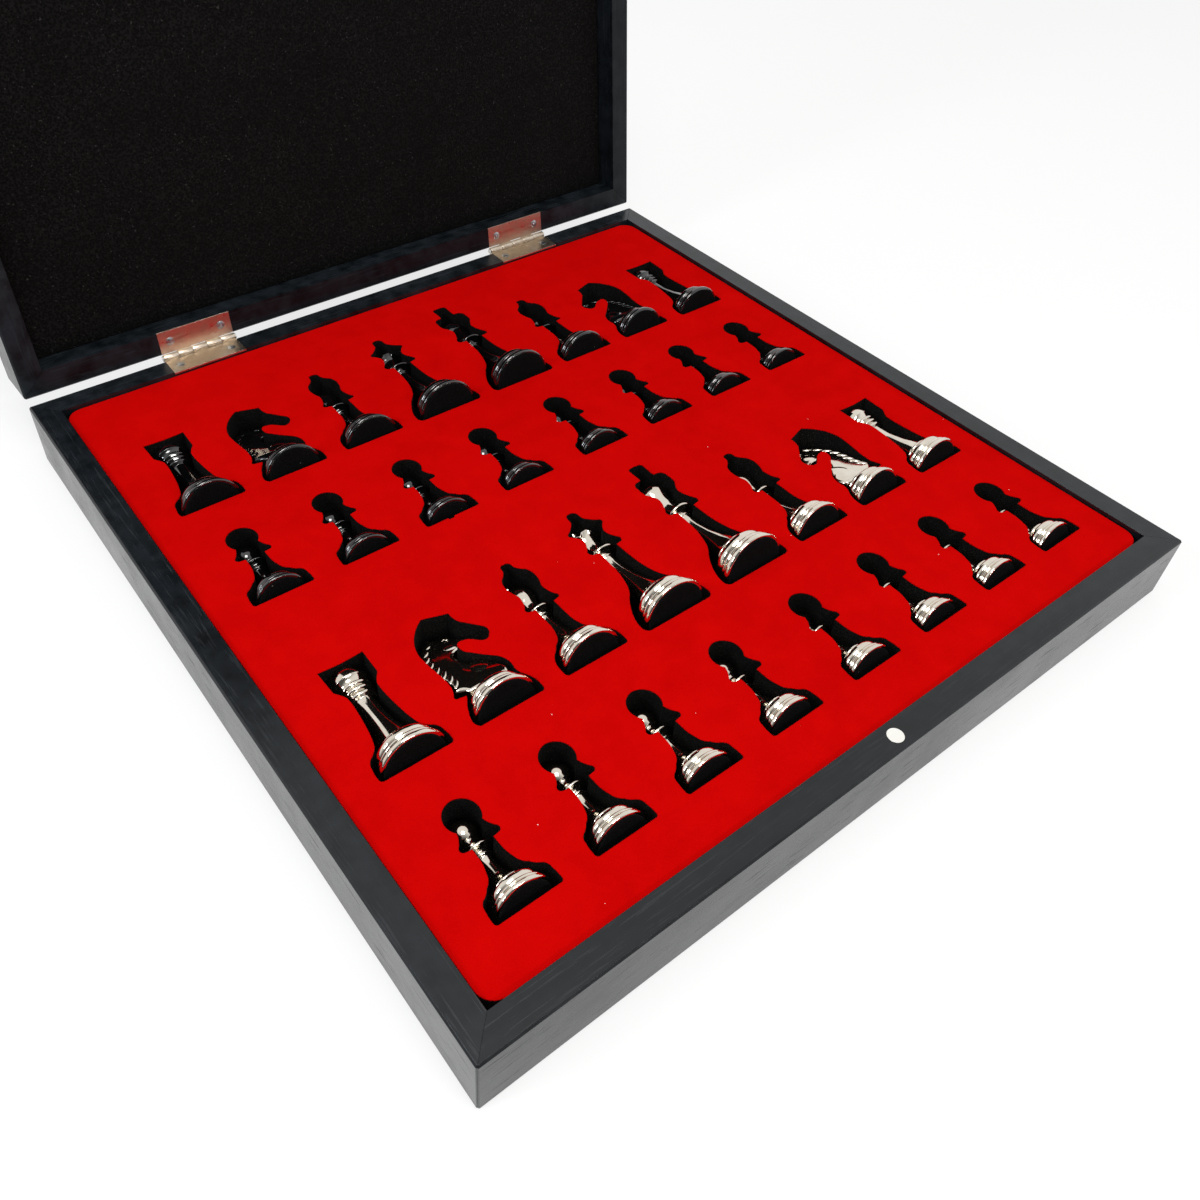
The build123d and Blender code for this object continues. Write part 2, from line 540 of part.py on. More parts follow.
def main():
    # Base
    for side, rail in base_frame().items():
        save(rail, f"base_{side}_rail")
    save(panel(0), "base_bottom_panel")
    plain_width, plain_depth = inner_width - 2 * INSERT_GAP, inner_depth - 2 * INSERT_GAP
    save(slab(plain_width, plain_depth, PANEL, pocket_floor, INSERT_CORNER), "base_foam_underlay")
    for place, quarter in quarters(pocketed(pocket_floor, flock_top - FLOCK)).items():
        save(quarter, f"base_foam_insert_{place}")
    save(pocketed(flock_top - FLOCK, flock_top), "base_flocked_sheet")
    save(magnet(BASE_HEIGHT, True), "base_magnet")
    base_nails = [nail(x, y, base_leaf_top, True) for x, y in nail_places()]
    save(Compound(children=base_nails), "base_hinge_nails")

    # Lid, drawn closed and then swung open
    for side, rail in lid_frame().items():
        save(opened(rail), f"lid_{side}_rail")
    save(opened(panel(lid_top - PANEL)), "lid_top_panel")
    lining_width, lining_depth = inner_width - 2 * LINING_GAP, inner_depth - 2 * LINING_GAP
    lining_low = lid_bottom + LINING_RECESS
    lining = slab(lining_width, lining_depth, lining_low, lid_top - PANEL, LINING_CORNER)
    save(opened(lining), "lid_foam_lining")
    save(opened(magnet(lid_bottom, False)), "lid_magnet")
    lid_nails = [nail(x, y, lid_leaf_bottom, False) for x, y in nail_places()]
    save(opened(Compound(children=lid_nails)), "lid_hinge_nails")

    # Hinges
    for side, middle in HINGE_MIDDLES.items():
        save(leaf(middle, base_leaf_top - LEAF, BASE_KNUCKLES, PIN_RADIUS), f"{side}_hinge_base_leaf")
        bore = PIN_RADIUS + PIN_RUNNING_FIT
        save(opened(leaf(middle, lid_leaf_bottom, LID_KNUCKLES, bore)), f"{side}_hinge_lid_leaf")
        save(hinge_pin(middle), f"{side}_hinge_pin")

    # Chessmen, each a casting with a felt disc under its foot
    models = {(kind, facing): make(facing) for kind, (_, _, _, make) in MEN.items() for facing in (-1, 1)}
    for name, kind, x, front, facing in places():
        pieces = (models[kind, facing], felt_disc(MEN[kind][2]))
        save(Compound(children=[laid(piece, kind, x, front) for piece in pieces]), name)


main()
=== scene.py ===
from math import atan, atan2, cos, degrees, hypot, pi, radians, sin, tan

import bmesh
import bpy
from mathutils import Euler, Matrix, Vector, noise


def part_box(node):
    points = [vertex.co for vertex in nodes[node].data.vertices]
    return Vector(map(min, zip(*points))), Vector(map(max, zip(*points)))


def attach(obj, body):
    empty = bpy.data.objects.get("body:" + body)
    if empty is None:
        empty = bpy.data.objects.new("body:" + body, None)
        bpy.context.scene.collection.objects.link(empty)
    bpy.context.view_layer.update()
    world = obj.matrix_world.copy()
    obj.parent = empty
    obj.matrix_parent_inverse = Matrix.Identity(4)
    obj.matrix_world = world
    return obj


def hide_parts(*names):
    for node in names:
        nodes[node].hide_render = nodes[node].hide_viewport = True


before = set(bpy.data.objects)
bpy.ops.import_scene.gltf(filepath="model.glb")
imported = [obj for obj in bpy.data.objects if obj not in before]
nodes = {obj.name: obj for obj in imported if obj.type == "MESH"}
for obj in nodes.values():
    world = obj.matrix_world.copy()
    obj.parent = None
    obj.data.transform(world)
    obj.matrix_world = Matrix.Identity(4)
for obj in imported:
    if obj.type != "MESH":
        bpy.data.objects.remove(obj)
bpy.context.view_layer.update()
MM = 0.001

# Base and lid frames: eight mitred hardwood rails, stained black, with open pores and a thin
# satin lacquer that lets the grain stand. Their arrises were eased with sandpaper, and the
# lacquer has rubbed a little paler there. Four rails are glued up round each panel.
RAIL_STAIN = (0.0022, 0.0028, 0.0034)
RAIL_STAIN_WORN = (0.022, 0.028, 0.034)
RAIL_LACQUER_ROUGHNESS = 0.2
BASE_SHINE = 0.36
LID_SHINE = 0.14  # the lid was rubbed down duller than the base
ARRIS = 0.35 * MM
OPEN_ANGLE = 97.5  # the lid rails' grain turns with the lid
GRAIN_LIGHT = (0.0045, 0.006, 0.0078)
# Paler bluish specks painted into the open pores.
PALE_PORE_SPECK = (0.012, 0.015, 0.018)
PORE_STRETCH = (45, 900, 900)  # pores per metre along the grain and across it
BAND_STRETCH = (9, 160, 160)


def new_group(name, inputs, outputs):
    """A shader node group with these sockets, given as (type, name, default)."""
    group = bpy.data.node_groups.new(name, "ShaderNodeTree")
    for kind, socket, value in inputs:
        made = group.interface.new_socket(socket, in_out="INPUT", socket_type=kind)
        made.default_value = value
    for kind, socket in outputs:
        group.interface.new_socket(socket, in_out="OUTPUT", socket_type=kind)
    return group, group.nodes.new("NodeGroupInput").outputs, group.nodes.new("NodeGroupOutput").inputs


def put(tree, kind, values=None, **settings):
    """A node in a tree, with its settings and its unlinked socket values or links."""
    node = tree.nodes.new("ShaderNode" + kind)
    for setting, value in settings.items():
        setattr(node, setting, value)
    for socket, value in (values or {}).items():
        if isinstance(value, bpy.types.NodeSocket):
            tree.links.new(value, node.inputs[socket])
        else:
            node.inputs[socket].default_value = value
    return node


def ramp(tree, factor, low, high, start=0.0, end=1.0):
    """Maps a value from one range to another, clamped."""
    values = {"Value": factor, "From Min": low, "From Max": high, "To Min": start, "To Max": end}
    return put(tree, "MapRange", values).outputs["Result"]


def maths(tree, operation, *values):
    """The result of one sum on values or links."""
    return put(tree, "Math", dict(enumerate(values)), operation=operation).outputs[0]


def mottle(tree, place, scale, **details):
    """The grey value of a noise with this many features to the metre."""
    return put(tree, "TexNoise", {"Vector": place, "Scale": scale, **details}).outputs["Fac"]


def on_piece(tree):
    """Coordinates fixed to the piece itself."""
    return put(tree, "TexCoord").outputs["Object"]


def blend_colour(tree, factor, first, second):
    """Mixes two colours by a mask."""
    inks = [ink if isinstance(ink, bpy.types.NodeSocket) else (*ink, 1) for ink in (first, second)]
    return put(tree, "Mix", {0: factor, 6: inks[0], 7: inks[1]}, data_type="RGBA").outputs[2]


def open_pores():
    """Long pores and growth bands that run along X, as a pore mask, a band value and a height."""
    group, source, sink = new_group(
        "Open pores",
        [("NodeSocketVector", "Along grain", (0, 0, 0)), ("NodeSocketFloat", "Pore density", 0.5)],
        [("NodeSocketFloat", "Pores"), ("NodeSocketFloat", "Bands"), ("NodeSocketFloat", "Height")],
    )
    stretched = put(group, "Mapping", {"Vector": source["Along grain"], "Scale": PORE_STRETCH}).outputs[0]
    fine = mottle(group, stretched, 1.0, Detail=3.0, Roughness=0.6)
    pore_edge = maths(group, "SUBTRACT", 0.78, source["Pore density"])
    pore_middle = maths(group, "ADD", pore_edge, 0.12)
    pores = ramp(group, fine, pore_edge, pore_middle)
    broad = put(group, "Mapping", {"Vector": source["Along grain"], "Scale": BAND_STRETCH}).outputs[0]
    wander = mottle(group, broad, 1.0, Detail=4.0, Distortion=0.6)
    bands = ramp(group, wander, 0.35, 0.68)
    dent = maths(group, "MULTIPLY", pores, -0.7)
    height = maths(group, "ADD", dent, bands)
    for value, socket in ((pores, "Pores"), (bands, "Bands"), (height, "Height")):
        group.links.new(value, sink[socket])
    return group


def edge_wear():
    """Pale rubbed arrises, broken up by noise, from how sharply the surface turns."""
    group, source, sink = new_group(
        "Edge wear",
        [("NodeSocketFloat", "Amount", 0.5), ("NodeSocketFloat", "Patchiness", 90.0)],
        [("NodeSocketFloat", "Worn")],
    )
    turn = put(group, "NewGeometry").outputs["Pointiness"]
    edge = ramp(group, turn, 0.505, 0.56)
    patches = mottle(group, on_piece(group), source["Patchiness"], Detail=3.0)
    broken = ramp(group, patches, 0.3, 0.7)
    both = maths(group, "MULTIPLY", edge, broken)
    group.links.new(maths(group, "MULTIPLY", both, source["Amount"]), sink["Worn"])
    return group


def hand_haze():
    """Faint cloudy patches where hands and dust have dulled a finish."""
    group, source, sink = new_group(
        "Hand haze", [("NodeSocketFloat", "Patch size", 14.0)], [("NodeSocketFloat", "Haze")]
    )
    cloud = mottle(group, on_piece(group), source["Patch size"], Detail=5.0, Roughness=0.65)
    group.links.new(ramp(group, cloud, 0.35, 0.72), sink["Haze"])
    return group


pores_group, wear_group, haze_group = open_pores(), edge_wear(), hand_haze()


def use_group(tree, group, values):
    """The outputs of a node group placed in a material."""
    return put(tree, "Group", values, node_tree=group).outputs


def new_material(name, **constants):
    """A material with a Principled shader whose plain values are set on its own sockets."""
    material = bpy.data.materials.new(name)
    material.use_nodes = True
    shader = material.node_tree.nodes["Principled BSDF"]
    for socket, value in constants.items():
        shader.inputs[socket.replace("_", " ")].default_value = value
    return material, material.node_tree, shader


def bump(tree, shader, height, depth, strength=1.0):
    """Feeds a height into the shader's normal, depth in metres."""
    node = put(tree, "Bump", {"Height": height, "Distance": depth, "Strength": strength})
    tree.links.new(node.outputs["Normal"], shader.inputs["Normal"])


def stained_wood(name, turn, shine):
    """Black-stained wood whose grain runs along X after the coordinates are turned."""
    material, tree, shader = new_material(name, IOR=1.5, Specular_IOR_Level=shine)
    grain = put(tree, "Mapping", {"Vector": on_piece(tree), "Rotation": turn}).outputs[0]
    pores = use_group(tree, pores_group, {"Along grain": grain, "Pore density": 0.2})
    worn = use_group(tree, wear_group, {"Amount": 0.55, "Patchiness": 120.0})["Worn"]
    haze = use_group(tree, haze_group, {"Patch size": 18.0})["Haze"]
    deep = blend_colour(tree, pores["Bands"], RAIL_STAIN, GRAIN_LIGHT)
    # The open pores are painted paler and bluish.
    specked = blend_colour(tree, ramp(tree, pores["Pores"], 0, 1, 0, 0.5), deep, PALE_PORE_SPECK)
    tree.links.new(blend_colour(tree, worn, specked, RAIL_STAIN_WORN), shader.inputs["Base Color"])
    dull = maths(tree, "MULTIPLY_ADD", haze, 0.12, RAIL_LACQUER_ROUGHNESS)
    tree.links.new(maths(tree, "MULTIPLY_ADD", pores["Pores"], 0.25, dull), shader.inputs["Roughness"])
    bump(tree, shader, pores["Height"], 0.03 * MM, 0.5)
    return material


def finish_node(name, material, arris, segments=3):
    """Gives a node its finish, and eases its sharp corners."""
    piece = nodes[name]
    piece.data.materials.clear()
    piece.data.materials.append(material)
    weld = piece.modifiers.new("One skin", "WELD")
    weld.merge_threshold = 1e-6
    if arris:
        ease = piece.modifiers.new("Eased arrises", "BEVEL")
        ease.width = arris
        ease.segments = segments
        ease.limit_method = "ANGLE"
        ease.angle_limit = radians(28)
        ease.harden_normals = True
    return piece


across = stained_wood("Stained rail across", (0, 0, 0), BASE_SHINE)
along = stained_wood("Stained rail along", (0, 0, radians(90)), BASE_SHINE)
lid_across = stained_wood("Stained lid rail across", (0, 0, 0), LID_SHINE)
lid_along = stained_wood("Stained lid rail along", (radians(OPEN_ANGLE), 0, radians(90)), LID_SHINE)
for rail, wood in (("front", across), ("back", across), ("left", along), ("right", along)):
    finish_node(f"base_{rail}_rail", wood, ARRIS)
for rail, wood in (("front", lid_across), ("back", lid_across), ("left", lid_along), ("right", lid_along)):
    finish_node(f"lid_{rail}_rail", wood, ARRIS)

# Bottom panel and lid panel: thin plywood glued into the rails' rebates, stained and lacquered
# like the rails. The lid's panel is the smooth top of the closed case.
for panel, wood in (("base_bottom_panel", across), ("lid_top_panel", lid_across)):
    finish_node(panel, wood, 0.15 * MM, segments=2)

# Foam underlay and die-cut insert: charcoal closed-cell foam, cut with steel rules to the shape
# of each man lying down, and pushed in between the rails. The cut walls show the burst cells.
FOAM = (0.0022, 0.0021, 0.002)
# The paler colour of the cell rims; the pits keep the darker foam colour as painted shade.
FOAM_CELL_RIM = (0.008, 0.0076, 0.0073)
POCKET_SHIFT = 0.7
COLUMNS = (23.8, 68.6, 112.0, 155.2)
DARK_OFFICERS_Y = 80.9
DARK_PAWNS_Y = 10.8
SET_PITCH = 176.6
LONG_POCKET_DROP = 0.8
NOTCH_WIDTH, NOTCH_DEPTH = 3.2, 1.0
PAWN_POCKET = [
    (13.2, 0, 0), (14.4, 1.6, 0.4), (14.0, 6.8, 0.15), (12.2, 10.2, 0.5), (9.0, 13.0, -0.3),
    (5.8, 17.6, -0.6), (4.6, 23.0, -0.2), (4.5, 28.2, 0), (7.4, 28.6, 0), (8.4, 31.0, 0.6),
    (5.4, 36.5, -0.4), (0, 49.1, 4.3),
]
ROOK_POCKET = [
    (14.8, 0, 0), (16.2, 1.8, 0.4), (15.8, 7.0, 0.2), (13.8, 11.4, 0.5), (9.9, 15.2, -0.3),
    (8.8, 19.0, -0.1), (7.6, 26.0, -0.1), (6.6, 36.0, -0.1), (6.7, 41.6, -0.1), (9.8, 46.4, -0.2),
    (10.0, 50.0, 0.1), (10.3, 59.2, 0), (0, 58.6, -0.1),
]
BISHOP_POCKET = [
    (15.0, 0, 0), (16.3, 1.8, 0.4), (16.0, 7.4, 0.2), (13.2, 12.2, 0.4), (9.8, 15.8, -0.2),
    (6.3, 19.8, -0.5), (5.0, 25.5, -0.2), (4.9, 36.6, 0), (7.8, 37.2, 0), (8.7, 39.2, 0.5),
    (6.5, 44.0, -0.4), (6.2, 47.4, -0.2), (7.9, 53.6, 0.3), (6.4, 59.4, 0.5), (3.2, 62.6, -0.2),
    (2.7, 64.6, -0.1), (0, 66.9, 1.0),
]
QUEEN_POCKET = [
    (16.8, 0, 0), (19.3, 3.2, 0.7), (18.4, 8.6, 0.2), (15.6, 14.6, 0.2), (12.2, 19.6, 0.1),
    (9.2, 23.4, -0.2), (7.1, 29.0, -0.2), (5.7, 37.0, -0.2), (5.2, 49.0, -0.1), (8.2, 49.5, 0),
    (9.4, 52.2, 0.5), (6.4, 57.0, -0.2), (6.3, 60.4, -0.2), (9.7, 64.6, -0.3), (9.0, 66.8, 0.5),
    (5.8, 69.2, -0.2), (3.2, 72.2, -0.2), (3.0, 74.4, 0.1), (0, 77.6, 1.1),
]
KING_POCKET = [
    (17.2, 0, 0), (19.5, 3.0, 0.7), (18.6, 8.6, 0.2), (15.8, 14.8, 0.2), (12.3, 20.0, 0.1),
    (9.3, 24.0, -0.2), (7.2, 30.0, -0.2), (5.7, 38.0, -0.2), (5.3, 48.9, -0.1), (8.6, 49.4, 0),
    (9.7, 52.0, 0.5), (6.8, 57.6, -0.2), (6.2, 61.6, -0.2), (9.2, 66.8, -0.3), (9.5, 72.4, 0.3),
    (7.2, 76.5, 0.9), (4.3, 76.8, 0), (4.1, 78.6, 0), (4.3, 84.6, 0), (2.6, 86.6, 0.5), (0, 86.8, 0),
]
KNIGHT_POCKET = [
    (14.9, 0, 0), (16.3, 1.8, 0.4), (16.1, 6.8, 0.2), (13.4, 12.4, 0.3), (12.6, 16.2, -0.2),
    (13.0, 20.0, 0.2), (10.2, 26.0, 0.6), (2.4, 33.6, -0.2), (0.2, 38.0, -0.6), (3.2, 40.4, -1.3),
    (7.0, 38.8, -0.4), (9.8, 36.2, 0), (14.6, 37.0, 1.2), (15.2, 42.2, 1.0), (8.2, 50.4, 0),
    (7.1, 56.6, -0.4), (2.0, 58.2, 0), (-4.3, 60.1, 0.1), (-11.6, 53.6, 0.5), (-15.6, 42.6, 0.9),
    (-14.0, 29.0, 0.2), (-13.9, 22.0, -0.2), (-15.9, 17.4, -0.2), (-15.4, 16.2, 0.2),
    (-11.2, 15.4, 0), (-13.0, 12.4, -0.1), (-15.0, 8.4, 0.2), (-16.3, 4.6, 0.2), (-14.9, 0, 0.8),
]


def arc(start, end, bulge, step=8.0):
    """Points after start up to end. A run with a bulge is an arc that stands out to its right."""
    chord = hypot(end[0] - start[0], end[1] - start[1])
    if not bulge or not chord:
        return [end]
    sweep = 4 * atan(2 * bulge / chord)
    mid = ((start[0] + end[0]) / 2, (start[1] + end[1]) / 2)
    left = (-(end[1] - start[1]) / chord, (end[0] - start[0]) / chord)
    reach = chord / 2 / tan(sweep / 2)
    centre = (mid[0] + left[0] * reach, mid[1] + left[1] * reach)
    spoke = (start[0] - centre[0], start[1] - centre[1])
    count = max(2, int(abs(degrees(sweep)) / step) + 1)
    made = []
    for k in range(1, count + 1):
        c, s = cos(sweep * k / count), sin(sweep * k / count)
        made.append((centre[0] + spoke[0] * c - spoke[1] * s, centre[1] + spoke[0] * s + spoke[1] * c))
    return made


def outline(corners, closed=True):
    """The points of an outline of (x, y, bulge) corners, anticlockwise."""
    made = [] if closed else [corners[0][:2]]
    befores = corners[-1:] + corners[:-1] if closed else corners[:-1]
    afters = corners if closed else corners[1:]
    for (x0, y0, _), (x1, y1, bulge) in zip(befores, afters):
        made += arc((x0, y0), (x1, y1), bulge)
    return made


def both_sides(half):
    """A symmetric outline from its right half, which ends on the middle line."""
    left = [(-x, y, after[2]) for (x, y, _), after in zip(half, half[1:])]
    return half + left[::-1]


def facing_left(corners):
    """The same outline facing the other way, still anticlockwise."""
    after = corners[1:] + corners[:1]
    return [(-x, y, follow[2]) for (x, y, _), follow in zip(corners, after)][::-1]


def places():
    """(name, kind, x, front edge, facing) of all the men, as they lie in their rows."""
    kinds = ("rook", "knight", "bishop", "queen", "king", "bishop", "knight", "rook")
    rows = []
    for side_name, shift in (("black", 0), ("silver", -SET_PITCH)):
        for index, kind in enumerate(kinds):
            side = -1 if index < 4 else 1
            column = COLUMNS[3 - index] if index < 4 else COLUMNS[index - 4]
            x = POCKET_SHIFT + side * column
            royal = kind in ("king", "queen")
            hand = "" if royal else ("_left" if side < 0 else "_right")
            front = DARK_OFFICERS_Y + shift - (LONG_POCKET_DROP if royal else 0)
            rows.append((f"{side_name}_{kind}{hand}", kind, x, front, -side))
            rows.append((f"{side_name}_pawn_{index + 1}", "pawn", x, DARK_PAWNS_Y + shift, -side))
    return rows


POCKETS = {
    "pawn": PAWN_POCKET, "rook": ROOK_POCKET, "knight": KNIGHT_POCKET,
    "bishop": BISHOP_POCKET, "queen": QUEEN_POCKET, "king": KING_POCKET,
}


def pocket_outlines():
    """Every pocket's outline in the case's plan, one of them with a torn nick at its front."""
    made = []
    for name, kind, x, front, facing in places():
        corners = POCKETS[kind]
        if kind != "knight":
            corners = both_sides(corners)
        elif facing < 0:
            corners = facing_left(corners)
        points = outline(corners)
        if name == "black_pawn_3":
            torn = [(-NOTCH_WIDTH, 0), (0.2 - NOTCH_WIDTH, -NOTCH_DEPTH), (-0.2, 0.1 - NOTCH_DEPTH), (0, 0)]
            points += torn
        made.append([(x + px, front + py) for px, py in points])
    return made


def rounded_rectangle(low, high, corner, steps=8):
    """Points round a rectangle with rounded corners, anticlockwise."""
    made = []
    for cx, cy, first in (
        (high.x - corner, low.y + corner, -90), (high.x - corner, high.y - corner, 0),
        (low.x + corner, high.y - corner, 90), (low.x + corner, low.y + corner, 180),
    ):
        for k in range(steps + 1):
            turn = radians(first + 90 * k / steps)
            made.append((cx + corner * cos(turn), cy + corner * sin(turn)))
    return made


def baked(made):
    """A new mesh of an object as it stands, with its modifiers."""
    return bpy.data.meshes.new_from_object(made.evaluated_get(bpy.context.evaluated_depsgraph_get()))


def die_cut(name, loops, low, high, lip):
    """A slab between two heights from closed loops in the same unit, its rims rounded by the lip."""
    curve = bpy.data.curves.new(name, "CURVE")
    curve.dimensions = "2D"
    curve.fill_mode = "BOTH"
    curve.extrude = (high - low) / 2 - lip
    curve.bevel_depth = lip
    curve.bevel_resolution = 2
    curve.offset = -lip
    for points in loops:
        spline = curve.splines.new("POLY")
        spline.points.add(len(points) - 1)
        for point, (px, py) in zip(spline.points, points):
            point.co = (px, py, 0, 1)
        spline.use_cyclic_u = True
    shell = bpy.data.objects.new(name + "_curve", curve)
    bpy.context.scene.collection.objects.link(shell)
    bpy.context.view_layer.update()
    mesh = baked(shell)
    bpy.data.objects.remove(shell)
    mesh.transform(Matrix.Translation((0, 0, (low + high) / 2)))
    return mesh


def show(name, mesh, material, body, sharp=35.0):
    """Links a made mesh as a piece that rides on a body."""
    mesh.name = name
    mesh.materials.clear()
    mesh.materials.append(material)
    for face in mesh.polygons:
        face.use_smooth = True
    mesh.set_sharp_from_angle(angle=radians(sharp))
    piece = bpy.data.objects.new(name, mesh)
    bpy.context.scene.collection.objects.link(piece)
    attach(piece, body)
    return piece


def foam_cells():
    """Burst closed cells: pale rims round pits that are painted darker as shade, and a height."""
    group, source, sink = new_group(
        "Foam cells", [("NodeSocketFloat", "Cell density", 1400.0)],
        [("NodeSocketFloat", "Rims"), ("NodeSocketFloat", "Sparkle"), ("NodeSocketFloat", "Height")],
    )
    where = on_piece(group)
    cells = put(group, "TexVoronoi", {"Vector": where, "Scale": source["Cell density"]}, feature="F1")
    rims = ramp(group, cells.outputs["Distance"], 0.35, 0.75)
    sparkle = ramp(group, mottle(group, where, source["Cell density"], Detail=2.0), 0.66, 0.74)
    for value, socket in ((rims, "Rims"), (sparkle, "Sparkle"), (cells.outputs["Distance"], "Height")):
        group.links.new(value, sink[socket])
    return group


cells_group = foam_cells()


def foam_material(name, density, sparkle_colour, sheen):
    """Charcoal foam with its cells at this density per metre."""
    material, tree, shader = new_material(
        name, Roughness=0.95, Specular_IOR_Level=0.06, Sheen_Weight=sheen, Sheen_Roughness=0.5
    )
    cells = use_group(tree, cells_group, {"Cell density": density})
    haze = use_group(tree, haze_group, {"Patch size": 30.0})["Haze"]
    # Painted shade: the cell pits, which the bump sinks, get the darker foam colour and the rims the paler
    # one.
    skin = blend_colour(tree, cells["Rims"], FOAM, FOAM_CELL_RIM)
    cloudy = blend_colour(tree, ramp(tree, haze, 0, 1, 0, 0.5), skin, FOAM)
    sparkled = blend_colour(tree, ramp(tree, cells["Sparkle"], 0, 1, 0, 0.6), cloudy, sparkle_colour)
    tree.links.new(sparkled, shader.inputs["Base Color"])
    bump(tree, shader, cells["Height"], 0.25 * MM, 0.8)
    return material


pocket_foam = foam_material("Cut foam", 1500.0, (0.03, 0.028, 0.026), 0.004)
QUARTERS = ("front_left", "front_right", "back_left", "back_right")
quarter_nodes = [f"base_foam_insert_{quarter}" for quarter in QUARTERS]
quarter_boxes = [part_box(node) for node in quarter_nodes]
insert_low, insert_high = quarter_boxes[0][0], quarter_boxes[-1][1]
underlay_low, underlay_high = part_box("base_foam_underlay")
INSERT_CORNER = 8.0 * MM
CUT_LIP = 0.1 * MM


def in_metres(points):
    """Points given in millimetres, in metres."""
    return [(x * MM, y * MM) for x, y in points]


pockets = [in_metres(points) for points in pocket_outlines()]
insert_edge = rounded_rectangle(insert_low, insert_high, INSERT_CORNER)
insert_mesh = die_cut("foam_insert", [insert_edge] + pockets, insert_low.z, insert_high.z, CUT_LIP)
foam_insert = show("foam_insert", insert_mesh, pocket_foam, "base")
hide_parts(*quarter_nodes)
underlay_mesh = die_cut("foam_underlay", [insert_edge], underlay_low.z, underlay_high.z, CUT_LIP)
foam_underlay = show("foam_underlay", underlay_mesh, pocket_foam, "base")
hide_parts("base_foam_underlay")

# Flocked facing: a thin red sheet, velvety with short upright fibres, bonded to the insert and
# cut with it, so that its lips turn down a little at each pocket. White lint clings to it.
FLOCK_RED = (0.53, 0.0015, 0.001)
FLOCK_SHADE = (0.42, 0.0005, 0.0005)
FLOCK_LIP = 0.35 * MM
LINT_ON_FLOCK = (0.75, 0.6, 0.58)
LINT_RARITY = 0.93  # the share of all the specks that are left out


def clinging_lint():
    """A few tiny pale fibres and specks, scattered over a surface."""
    group, source, sink = new_group(
        "Clinging lint",
        [("NodeSocketFloat", "Speck density", 160.0), ("NodeSocketFloat", "Speck size", 0.06)],
        [("NodeSocketFloat", "Lint")],
    )
    where = on_piece(group)
    bend = put(group, "TexNoise", {"Vector": where, "Scale": 300.0}).outputs["Color"]
    curl = put(group, "VectorMath", {0: bend, 1: (2 * MM, 2 * MM, 0)}, operation="MULTIPLY").outputs[0]
    moved = put(group, "VectorMath", {0: where, 1: curl}, operation="ADD").outputs[0]
    specks = put(group, "TexVoronoi", {"Vector": moved, "Scale": source["Speck density"]}, feature="F1")
    near = maths(group, "LESS_THAN", specks.outputs["Distance"], source["Speck size"])
    pick = put(group, "SeparateColor", {"Color": specks.outputs["Color"]}).outputs[0]
    rare = maths(group, "GREATER_THAN", pick, LINT_RARITY)
    group.links.new(maths(group, "MULTIPLY", near, rare), sink["Lint"])
    return group


lint_group = clinging_lint()


def flock_material():
    """Red flock whose nap lies a little this way and that."""
    material, tree, shader = new_material(
        "Red flock", Roughness=0.9, Specular_IOR_Level=0.01, Sheen_Weight=0.1, Sheen_Roughness=0.35,
        Sheen_Tint=(1.0, 0.01, 0.01, 1.0),
    )
    where = on_piece(tree)
    nap = mottle(tree, where, 2600.0, Detail=2.0)
    strokes = mottle(tree, where, 22.0, Detail=4.0, Distortion=0.8)
    haze = use_group(tree, haze_group, {"Patch size": 60.0})["Haze"]
    lint = use_group(tree, lint_group, {"Speck density": 150.0, "Speck size": 0.035})["Lint"]
    brushed = maths(tree, "ADD", ramp(tree, nap, 0.3, 0.7), ramp(tree, strokes, 0.3, 0.7, 0, 0.6))
    shaded = ramp(tree, maths(tree, "ADD", brushed, haze), 0.2, 2.2)
    red = blend_colour(tree, shaded, FLOCK_RED, FLOCK_SHADE)
    tree.links.new(blend_colour(tree, lint, red, LINT_ON_FLOCK), shader.inputs["Base Color"])
    bump(tree, shader, nap, 0.12 * MM, 0.7)
    return material


red_flock = flock_material()
sheet_low, sheet_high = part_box("base_flocked_sheet")
sheet_edge = rounded_rectangle(sheet_low, sheet_high, INSERT_CORNER)
sheet_mesh = die_cut("flocked_sheet", [sheet_edge] + pockets, sheet_low.z, sheet_high.z, FLOCK_LIP)
flocked_sheet = show("flocked_sheet", sheet_mesh, red_flock, "base")
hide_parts("base_flocked_sheet")

# Magnetic catch: a nickel-plated disc magnet glued flush into the front rail, and its partner in
# the lid's front rail. The plating is bright but has fine scratches from closing.
SCRATCH_TURNS = (0.3, 1.4, 2.3)
SCRATCH_STRETCH = (0.03, 1, 1)
PLATING_BRIGHT = (0.9, 0.88, 0.82)


def fine_scratches():
    """Hairline scratches in several directions, as a mask."""
    group, source, sink = new_group(
        "Fine scratches", [("NodeSocketFloat", "Density", 700.0)], [("NodeSocketFloat", "Scratches")]
    )
    where = on_piece(group)
    masks = []
    for turn in SCRATCH_TURNS:
        way = {"Vector": where, "Rotation": (turn * 0.4, turn * 0.7, turn), "Scale": SCRATCH_STRETCH}
        hair = mottle(group, put(group, "Mapping", way).outputs[0], source["Density"], Detail=1.0)
        masks.append(ramp(group, hair, 0.66, 0.72))
    crossed = maths(group, "MAXIMUM", maths(group, "MAXIMUM", masks[0], masks[1]), masks[2])
    group.links.new(crossed, sink["Scratches"])
    return group


scratches_group = fine_scratches()


